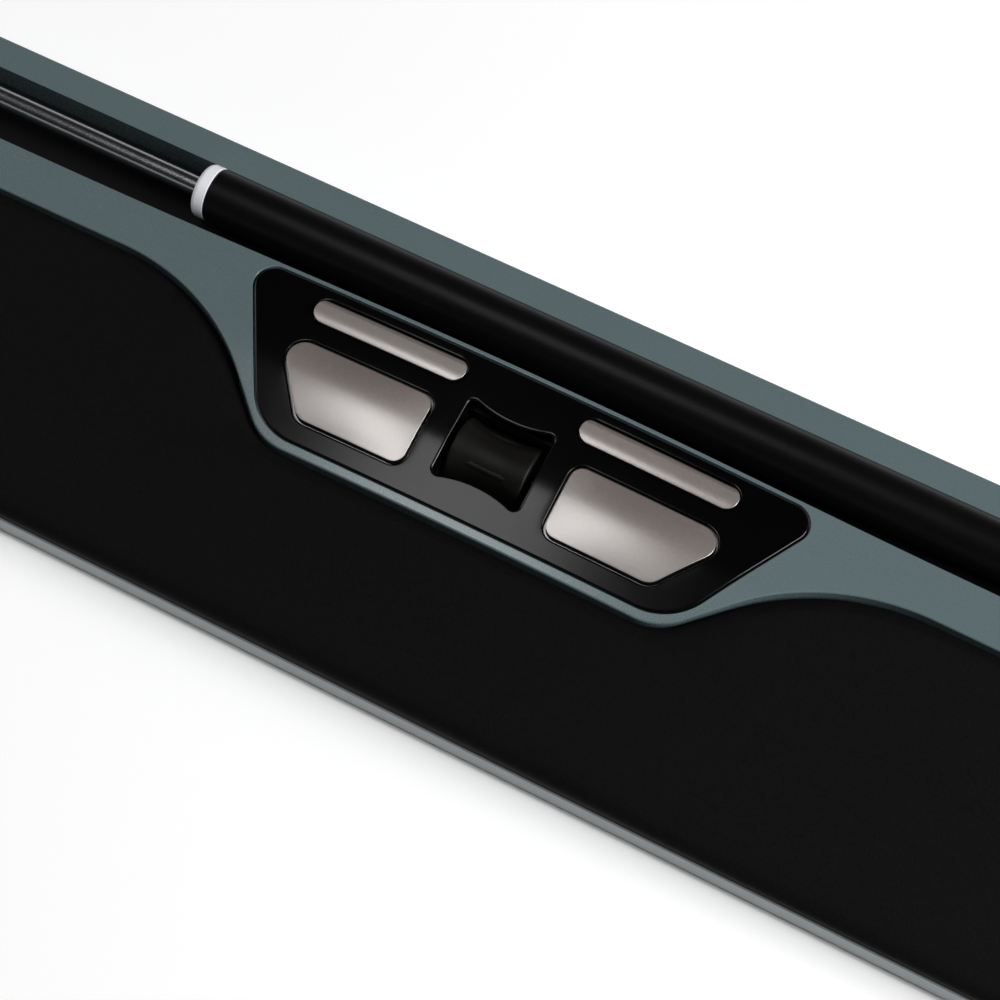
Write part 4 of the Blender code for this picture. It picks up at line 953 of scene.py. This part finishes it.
def button(name, corners, inwards, proud, swell):
    """A cap whose top rises by a swell across and along it, with its flange and its stem."""
    edge = outline(corners, steps=10)
    left, right = min(corner[0] for corner in corners), max(corner[0] for corner in corners)
    front, rear = min(corner[1] for corner in corners), max(corner[1] for corner in corners)
    x, y = (left + right) / 2, (front + rear) / 2
    half_x, half_y = (right - left) / 2, (rear - front) / 2
    cap_side = side(FLANGE_BOTTOM, DECK_TOP + proud, crest=BUTTON_ROUND)
    cap = plate(name, inset(edge, inwards), cap_side)
    x_cuts = [x + half_x * number / TOP_COLUMNS for number in range(1 - TOP_COLUMNS, TOP_COLUMNS)]
    y_cuts = [y + half_y * number / TOP_ROWS for number in range(1 - TOP_ROWS, TOP_ROWS)]

    def lift(point):
        return swell((point.x - x) / half_x, (point.y - y) / half_y) if point.z > DECK_TOP else 0

    shape_top(cap, x_cuts, y_cuts, lift)
    flange = plate("flange", inset(edge, -FLANGE_REACH), side(FLANGE_BOTTOM, FLANGE_TOP))
    stem = plate("stem", circle(x, y, STEM_RADIUS), side(STEM_BOTTOM, FLANGE_TOP, foot=STEM_ROUND))
    combine(cap, 'UNION', [flange])
    combine(cap, 'UNION', [stem])
    drape(cap)
    complete(cap, silver_paint_and_shade)
    cap.data.materials.append(inner_black)
    for face in cap.data.polygons:
        face.material_index = int(face.normal.z < PAINTED_TILT)
    # Paint only above the flange; on tilted faces the cover falls off as painted shade.
    paint_and_shade = cap.data.attributes.new("paint_and_shade", 'FLOAT', 'POINT')
    for vert in cap.data.vertices:
        cover_and_shade = (vert.normal.z - PAINTED_SHADE_FULL) / (PAINTED_SHADE_NONE - PAINTED_SHADE_FULL)
        raised = vert.co.z - deck_lift(vert.co) > FLANGE_TOP + FIT_GAP
        paint_and_shade.data[vert.index].value = raised * min(1, max(0, cover_and_shade))
    return cap


def click_swell(across, along):
    """A dome that dies out at the edge of the click button."""
    return CLICK_DOME * max(0, 1 - across ** 2) * max(0, 1 - along ** 2)


def bar_swell(across, along):
    """A bar button's fall towards its front edge, and its steeper fall towards the rear."""
    rolled = min(1, max(0, 2 * along - 1))
    return -BAR_FRONT_FALL * max(0, -along) ** 3 - BAR_REAR_FALL * (1 - math.sqrt(1 - rolled ** 2))


for word, hand in HANDS:
    click_edge = handed(click_corners, hand)
    click_cap = button(word + "_click_cap", click_edge, CLICK_INSET, CLICK_PROUD, click_swell)
    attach(click_cap, word + "_click")
    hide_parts(word + "_click_button")
    bar_edge = handed(bar_corners, hand)
    bar_cap = button(word + "_bar_cap", bar_edge, BAR_INSET, BAR_PROUD, bar_swell)
    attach(bar_cap, word + "_bar")
    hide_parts(word + "_bar_button")

# Control panel: a thin plate of satin black plastic, bent to the deck and glued into the pocket. Its
# openings have finely rounded rims, and it holds the buttons' flanges down.
PANEL_BOTTOM = 0.0184
PANEL_GAP = 0.0005
PANEL_ROUND = 0.0004
PANEL_RIM = [(0.0, 0.00030), (0.00005, 0.00020), (0.00018, 0.00009), (0.00045, 0.0), (0.0005, -0.003)]
WHEEL_GAP = 0.0017
WHEEL_RIM_SHARE = 1.6
WHEEL_CORNER = 0.0015
WAIST_STATIONS = 10
PANEL_BLACK = (0.0007, 0.0007, 0.0007)

panel_satin, panel_tree, panel_shader, panel_place = surface("panel_satin", Specular_IOR_Level=0.28)
panel_grain = panel_tree.noise(panel_place, scale=2600.0, detail=4.0)
panel_haze = panel_tree.noise(panel_place, scale=120.0)
panel_tree.feed(panel_shader, {
    "Base Color": panel_tree.mix(panel_grain, tinted(PANEL_BLACK, 0.7), tinted(PANEL_BLACK, 1.3)),
    "Roughness": 0.16 + panel_haze * 0.03 + panel_grain * 0.05,
    "Normal": panel_tree.bump(panel_grain, depth=0.000005),
})
wheel_reach = WHEEL_HALF_WIDTH + WHEEL_GAP
wheel_ends = WHEEL_CENTRE.y - WHEEL_END_RADIUS - WHEEL_GAP
waist = [WHEEL_HALF_WIDTH * number / WAIST_STATIONS for number in range(-WAIST_STATIONS, WAIST_STATIONS + 1)]
hourglass = [(x, WHEEL_CENTRE.y - saddle(x) - WHEEL_GAP, 0) for x in waist]
hourglass = [(-wheel_reach, wheel_ends, WHEEL_CORNER), *hourglass, (wheel_reach, wheel_ends, WHEEL_CORNER)]
hourglass += [(x, 2 * WHEEL_CENTRE.y - y, radius) for x, y, radius in reversed(hourglass)]
panel_side = side(PANEL_BOTTOM, DECK_TOP, crest=PANEL_ROUND)
panel = plate("panel_plate", inset(pocket_edge, PANEL_GAP), panel_side)


def rim_side(share):
    """The side of a cutter that leaves a rounded rim, so many times the usual size."""
    return [(0, FLANGE_TOP)] + [(away * share, DECK_TOP - depth * share) for away, depth in PANEL_RIM]


panel_cuts = [plate("wheel_opening", outline(hourglass, steps=5), rim_side(WHEEL_RIM_SHARE))]
for hand in (-1, 1):
    for corners in (click_corners, bar_corners):
        button_edge = inset(outline(handed(corners, hand), steps=10), -BUTTON_GAP)
        panel_cuts.append(plate("button_opening", button_edge, rim_side(1)))
combine(panel, 'DIFFERENCE', panel_cuts)
drape(panel)
complete(panel, panel_satin)
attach(panel, "housing")
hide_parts("control_panel")

# Wrist rest: a board that lies in the tray, and a foam cushion in black grained leatherette. A plug of
# bare foam under the cushion sits in the tray, and the cushion itself lies over the tray's wall.
REST_GAP = 0.0004
PLUG_BOTTOM = 0.0056
PAD_FOOT = 0.0106
PAD_FOOT_ROUND = 0.0001
PAD_HEIGHT = 0.0177
PAD_ROUND = 0.0038
PAD_FALL = 0.0008
PAD_CROWN_SHARE = 0.3
PAD_SWELL = 0.0006
PAD_SIDE_SHARE = 0.2
PAD_PRESSURE = 4.0
PAD_FRAMES = 20
PAD_HELD = 0.0006
PAD_ROW = 0.003
PAD_COLUMN = 0.006
PAD_BLACK = (0.0036, 0.0035, 0.0034)

pad_leather, pad_tree, pad_shader, pad_place = surface("pad_leather", Specular_IOR_Level=0.06)
pad_warp = pad_tree.noise(pad_place, scale=700.0)
pad_cells = pad_tree.node(
    'ShaderNodeTexVoronoi', {'feature': 'DISTANCE_TO_EDGE'}, {'Vector': pad_place, 'Scale': 1100.0}
)
pad_grain = pad_tree.node('ShaderNodeValToRGB', {'stops': [(0.0, 0.0), (0.16, 1.0)]}, {0: pad_cells})
pad_height = pad_grain * 0.7 + pad_warp * 0.3
pad_tree.feed(pad_shader, {
    "Base Color": pad_tree.mix(pad_height, tinted(PAD_BLACK, 0.6), tinted(PAD_BLACK, 1.3)),
    "Roughness": 0.66 + pad_warp * 0.08 - pad_grain * 0.04,
    "Normal": pad_tree.bump(pad_height, depth=0.00004, strength=0.6),
})
rest_corners = [(-HALF_LENGTH, FRONT_Y, BODY_CORNER), (HALF_LENGTH, FRONT_Y, BODY_CORNER)]
rest_corners += reversed(rim_corners)
rest_edge = outline(rest_corners, steps=16)
plug = plate("foam_plug", inset(rest_edge, TRAY_WALL + REST_GAP), side(PLUG_BOTTOM, PAD_FOOT + FIT_GAP))
complete(plug, inner_black)
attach(plug, "housing")
pad_side = side(PAD_FOOT, PAD_HEIGHT, foot=PAD_FOOT_ROUND, crest=PAD_ROUND, steps=10)
pad = plate("foam_pad", inset(rest_edge, REST_GAP), pad_side)
pad_front = FRONT_Y + REST_GAP
pad_rear = RIM_FRONT - REST_GAP


def settle(point):
    """Let the pad's top fall a little towards its edges and follow the deck's crown."""
    share = (point.z - PAD_FOOT) / (PAD_HEIGHT - PAD_FOOT)
    across = (2 * point.y - pad_front - pad_rear) / (pad_rear - pad_front)
    return -share * (PAD_FALL * min(1, across ** 2) + PAD_CROWN_SHARE * crown(point.x))


row_count = int((WING_FRONT - REST_GAP - pad_front) / PAD_ROW)
column_count = int((HALF_LENGTH - REST_GAP) / PAD_COLUMN)
pad_rows = [pad_front + PAD_ROW * number for number in range(1, row_count + 1)]
pad_columns = [PAD_COLUMN * number for number in range(-column_count, column_count + 1)]
shape_top(pad, pad_columns, pad_rows, settle)
pad_mesh = pad.data
held = pad.vertex_groups.new(name="held")
held_points = [vert.index for vert in pad_mesh.vertices if vert.co.z < PAD_FOOT + PAD_HELD]
held.add(held_points, 1.0, 'REPLACE')
start = [vert.co.copy() for vert in pad_mesh.vertices]
cloth = pad.modifiers.new("foam", 'CLOTH')
cloth.settings.use_pressure = True
cloth.settings.uniform_pressure_force = PAD_PRESSURE
cloth.settings.effector_weights.gravity = 0
cloth.settings.vertex_group_mass = held.name
for number in range(1, PAD_FRAMES + 1):
    bpy.context.scene.frame_set(number)
swollen = worked_out(pad)
pad.modifiers.clear()
pad.vertex_groups.clear()
for vert, before, after in zip(pad_mesh.vertices, start, swollen.vertices):
    move = after.co - before
    move *= min(1, PAD_SWELL / max(move.length, MERGE_GAP))
    vert.co = before + Vector((move.x * PAD_SIDE_SHARE, move.y * PAD_SIDE_SHARE, move.z))
bpy.context.scene.frame_set(1)
complete(pad, pad_leather, crease=50)
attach(pad, "housing")
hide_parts("wrist_rest_pad")
dress(inner_black, "wrist_rest_board")

# Base screws: pan-head steel screws with a cross recess, sunk into the tray's floor from below. They
# run up into the bosses of the upper housing and hold the two shells together.
HEAD_RADIUS = 0.0028
HEAD_HEIGHT = 0.0009
HEAD_ROUND = 0.0005
HEAD_EDGE = 0.0001
SHANK_RADIUS = 0.0010
SHANK_LENGTH = 0.0070
SHANK_TIP = 0.0004
RECESS_LENGTH = 0.0030
RECESS_WIDTH = 0.0008
RECESS_DEPTH = 0.0006

screw_profile = [
    (0, 0, 0),
    (HEAD_HEIGHT + SHANK_LENGTH, 0, 0),
    (HEAD_HEIGHT + SHANK_LENGTH, SHANK_RADIUS, SHANK_TIP),
    (HEAD_HEIGHT, SHANK_RADIUS, 0),
    (HEAD_HEIGHT, HEAD_RADIUS, HEAD_EDGE),
    (0, HEAD_RADIUS, HEAD_ROUND),
]
screw_model = turned("screw_model", screw_profile, Vector((0, 0, 0)), axis='Z', sides=32)
recess_sizes = [(RECESS_LENGTH, RECESS_WIDTH), (RECESS_WIDTH, RECESS_LENGTH)]
recesses = [block("recess", size, (0, 0), -HEAD_HEIGHT, RECESS_DEPTH) for size in recess_sizes]
combine(screw_model, 'DIFFERENCE', recesses)
screw_places = [(x, y, FOOT_LIFT) for x, y in BASE_SCREWS]
screws = copies("cross_screws", screw_model, screw_places, bright_steel, turn=math.pi, seed=7)
complete(screws, bright_steel)
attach(screws, "housing")
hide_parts(*[f"base_screw_{number}" for number in range(1, len(BASE_SCREWS) + 1)])

# Cable socket: a folded steel shell with a black plastic tongue inside it, which carries a row of gilt
# contacts on each face. It sits in a hole in the rear wall of the upper housing, behind the groove.
SOCKET_SIZE = (0.0090, 0.0032)
SOCKET_CORNER = 0.0012
SOCKET_EDGE = 0.0001
SOCKET_LOW = 0.0063
SOCKET_DEPTH = 0.0056
SOCKET_WALL = 0.0004
TONGUE_SIZE = (0.0060, 0.0008)
TONGUE_CORNER = 0.0003
TONGUE_SPAN = (0.0004, 0.0046)
TONGUE_ROUND = 0.0002
CONTACT_COUNT = 6
CONTACT_STEP = 0.0009
CONTACT_SIZE = (0.0005, 0.0001)
CONTACT_SPAN = (0.0012, 0.0042)
CONTACT_RISE = 0.00043
CONTACT_GOLD = (0.62, 0.42, 0.14)

socket_mouth = REAR_Y - FIT_GAP
socket_middle = SOCKET_LOW + SOCKET_SIZE[1] / 2
socket_back = socket_mouth - SOCKET_DEPTH
backwards = Matrix(((-1, 0, 0, SOCKET_X), (0, 0, 1, socket_back), (0, 1, 0, socket_middle), (0, 0, 0, 1)))
socket_edge = outline(rectangle(*SOCKET_SIZE, SOCKET_CORNER), steps=6)
socket = plate("socket_shell", socket_edge, side(0, SOCKET_DEPTH, crest=SOCKET_EDGE))
socket_room = plate("socket_room", inset(socket_edge, SOCKET_WALL), side(2 * SOCKET_WALL, 2 * SOCKET_DEPTH))
combine(socket, 'DIFFERENCE', [socket_room])
tongue_edge = outline(rectangle(*TONGUE_SIZE, TONGUE_CORNER), steps=3)
tongue = plate("socket_tongue", tongue_edge, side(*TONGUE_SPAN, crest=TONGUE_ROUND))
contact_model = block("contact_model", CONTACT_SIZE, (0, 0), *CONTACT_SPAN)
contact_gold = ground_metal("contact_gold", CONTACT_GOLD, roughness=0.24, lines=(1.0, 1.0, 0.1))
contact_rows = [
    ((number - (CONTACT_COUNT - 1) / 2) * CONTACT_STEP, rise, 0.0)
    for number in range(CONTACT_COUNT) for rise in (-CONTACT_RISE, CONTACT_RISE)
]
contacts = copies("socket_contacts", contact_model, contact_rows, contact_gold)
for item, finish, slot in (
    (socket, bright_steel, "steel"), (tongue, inner_black, "inner_black"), (contacts, contact_gold, "steel"),
):
    item.data.transform(backwards)
    complete(item, finish)
    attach(item, "housing")
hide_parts("cable_socket")

# Studio: a sheet of white paper that curves up all round, a soft box overhead and one at each side, and the
# camera of the photograph. The paper looks white in mirror images too and still takes the lamps' shadows; its
# glow stops under the object and fades in just past its footprint, a painted contact shadow, and it weakens
# farther out, a painted falloff of light.
CAMERA_PLACE = Vector((0.08587, -0.15797, 0.45112))
CAMERA_BACK = Vector((0.1701, -0.3343, 0.9269))
CAMERA_RIGHT = Vector((0.8913, 0.4535, 0.0))
CAMERA_LENS = 72.0
CAMERA_SENSOR = 36.0
CAMERA_NEAR = 0.01
CAMERA_FAR = 50.0
FLOOR_REACH = 2.2
FLOOR_SWEEP = 1.2
FLOOR_SIDES = 64
SWEEP_STEPS = 8
FLOOR_WHITE = (0.82, 0.82, 0.82)
FLOOR_GLOW = 0.31
FAR_GLOW = -0.10
GLOW_NEAR = 0.3
GLOW_FAR = 2.0
PAINTED_SHADOW_REACH = 0.0012
WORLD_GREY = (0.008, 0.008, 0.008)

floor_points = [(*point, 0) for point, _ in circle(0, 0, FLOOR_REACH, FLOOR_SIDES)]
floor_faces = [range(FLOOR_SIDES)]
for number in range(1, SWEEP_STEPS + 1):
    rise = math.pi / 2 * number / SWEEP_STEPS
    sweep_radius = FLOOR_REACH + FLOOR_SWEEP * math.sin(rise)
    sweep_height = FLOOR_SWEEP * (1 - math.cos(rise))
    floor_points += [(*point, sweep_height) for point, _ in circle(0, 0, sweep_radius, FLOOR_SIDES)]
    for corner in range(FLOOR_SIDES):
        near, following = (number - 1) * FLOOR_SIDES, (corner + 1) % FLOOR_SIDES
        far = near + FLOOR_SIDES
        floor_faces.append((near + corner, far + corner, far + following, near + following))
floor_mesh = bpy.data.meshes.new("studio_floor")
floor_mesh.from_pydata(floor_points, [], floor_faces)
floor_mesh.shade_smooth()
floor = add_object("studio_floor", floor_mesh)
paper_constants = {"Roughness": 0.9, "Specular_IOR_Level": 0.0, "Emission_Strength": 1.0}
paper_constants["Base_Color"] = (*FLOOR_WHITE, 1)
floor_paper, floor_tree, floor_shader, floor_place = surface("floor_paper", **paper_constants)
seen = floor_tree.node('ShaderNodeLightPath', output='Is Camera Ray')
mirrored = floor_tree.node('ShaderNodeLightPath', output='Is Glossy Ray')
through = floor_tree.node('ShaderNodeLightPath', output='Is Transmission Ray')
# Painted falloff of light: the floor's glow is a little weaker far from the object than near it.
away = floor_tree.node('ShaderNodeVectorMath', {'operation': 'LENGTH'}, {0: floor_place}, 'Value')
away = floor_tree.node('ShaderNodeMapRange', {}, {'Value': away, 'From Min': GLOW_NEAR, 'From Max': GLOW_FAR})
floor_xy = floor_tree.node('ShaderNodeVectorMath', {'operation': 'ABSOLUTE'}, {0: floor_place})
half_size = (HALF_LENGTH - BODY_CORNER, REAR_Y - BODY_CORNER, 0)
floor_xy = floor_tree.node('ShaderNodeVectorMath', {'operation': 'SUBTRACT'}, {0: floor_xy, 1: half_size})
floor_xy = floor_tree.node('ShaderNodeVectorMath', {'operation': 'MAXIMUM'}, {0: floor_xy, 1: (0, 0, 0)})
beside = floor_tree.node('ShaderNodeVectorMath', {'operation': 'LENGTH'}, {0: floor_xy}, 'Value')
# Painted contact shadow: no glow under the object, fading in just past its footprint.
painted_shadow_range = {'Value': beside, 'From Min': BODY_CORNER, 'From Max': BODY_CORNER + PAINTED_SHADOW_REACH}
clear = floor_tree.node('ShaderNodeMapRange', {'interpolation_type': 'SMOOTHSTEP'}, painted_shadow_range)
floor_glow = (seen + mirrored + through) * clear * (FLOOR_GLOW + away * FAR_GLOW)
floor_tree.feed(floor_shader, {"Emission Color": floor_glow})
floor_mesh.materials.append(floor_paper)


def soft_box(name, middle, width, depth, radiance):
    """An area lamp that faces the object, with its width level, as bright as a wall of that radiance."""
    lamp = bpy.data.lights.new(name, 'AREA')
    lamp.shape = 'RECTANGLE'
    lamp.size = width
    lamp.size_y = depth
    lamp.energy = radiance * math.pi * width * depth
    obj = add_object(name, lamp)
    back = Vector(middle).normalized()
    right = Vector((0, 1, 0)).cross(back).normalized()
    turn = Matrix((right, back.cross(right), back)).transposed().to_4x4()
    obj.matrix_world = Matrix.Translation(middle) @ turn
    obj.visible_camera = False


soft_box("overhead_box", middle=(-0.183, -0.045, 0.92), width=0.28, depth=0.42, radiance=4.8)
soft_box("left_box", middle=(-1.15, 0.05, 0.60), width=0.9, depth=0.6, radiance=2.0)
soft_box("right_box", middle=(1.15, 0.12, 0.66), width=0.9, depth=0.7, radiance=11.5)

world = bpy.data.worlds.new("studio")
world.use_nodes = True
world.node_tree.nodes["Background"].inputs["Color"].default_value = (*WORLD_GREY, 1)
bpy.context.scene.world = world

camera = bpy.data.cameras.new("photo_camera")
camera.lens = CAMERA_LENS
camera.sensor_width = CAMERA_SENSOR
camera.clip_start = CAMERA_NEAR
camera.clip_end = CAMERA_FAR
camera_object = add_object("photo_camera", camera)
camera_up = CAMERA_BACK.cross(CAMERA_RIGHT)
camera_turn = Matrix((CAMERA_RIGHT, camera_up, CAMERA_BACK)).transposed().to_4x4()
camera_object.matrix_world = Matrix.Translation(CAMERA_PLACE) @ camera_turn
bpy.context.scene.camera = camera_object
bpy.context.scene.view_settings.view_transform = 'Standard'
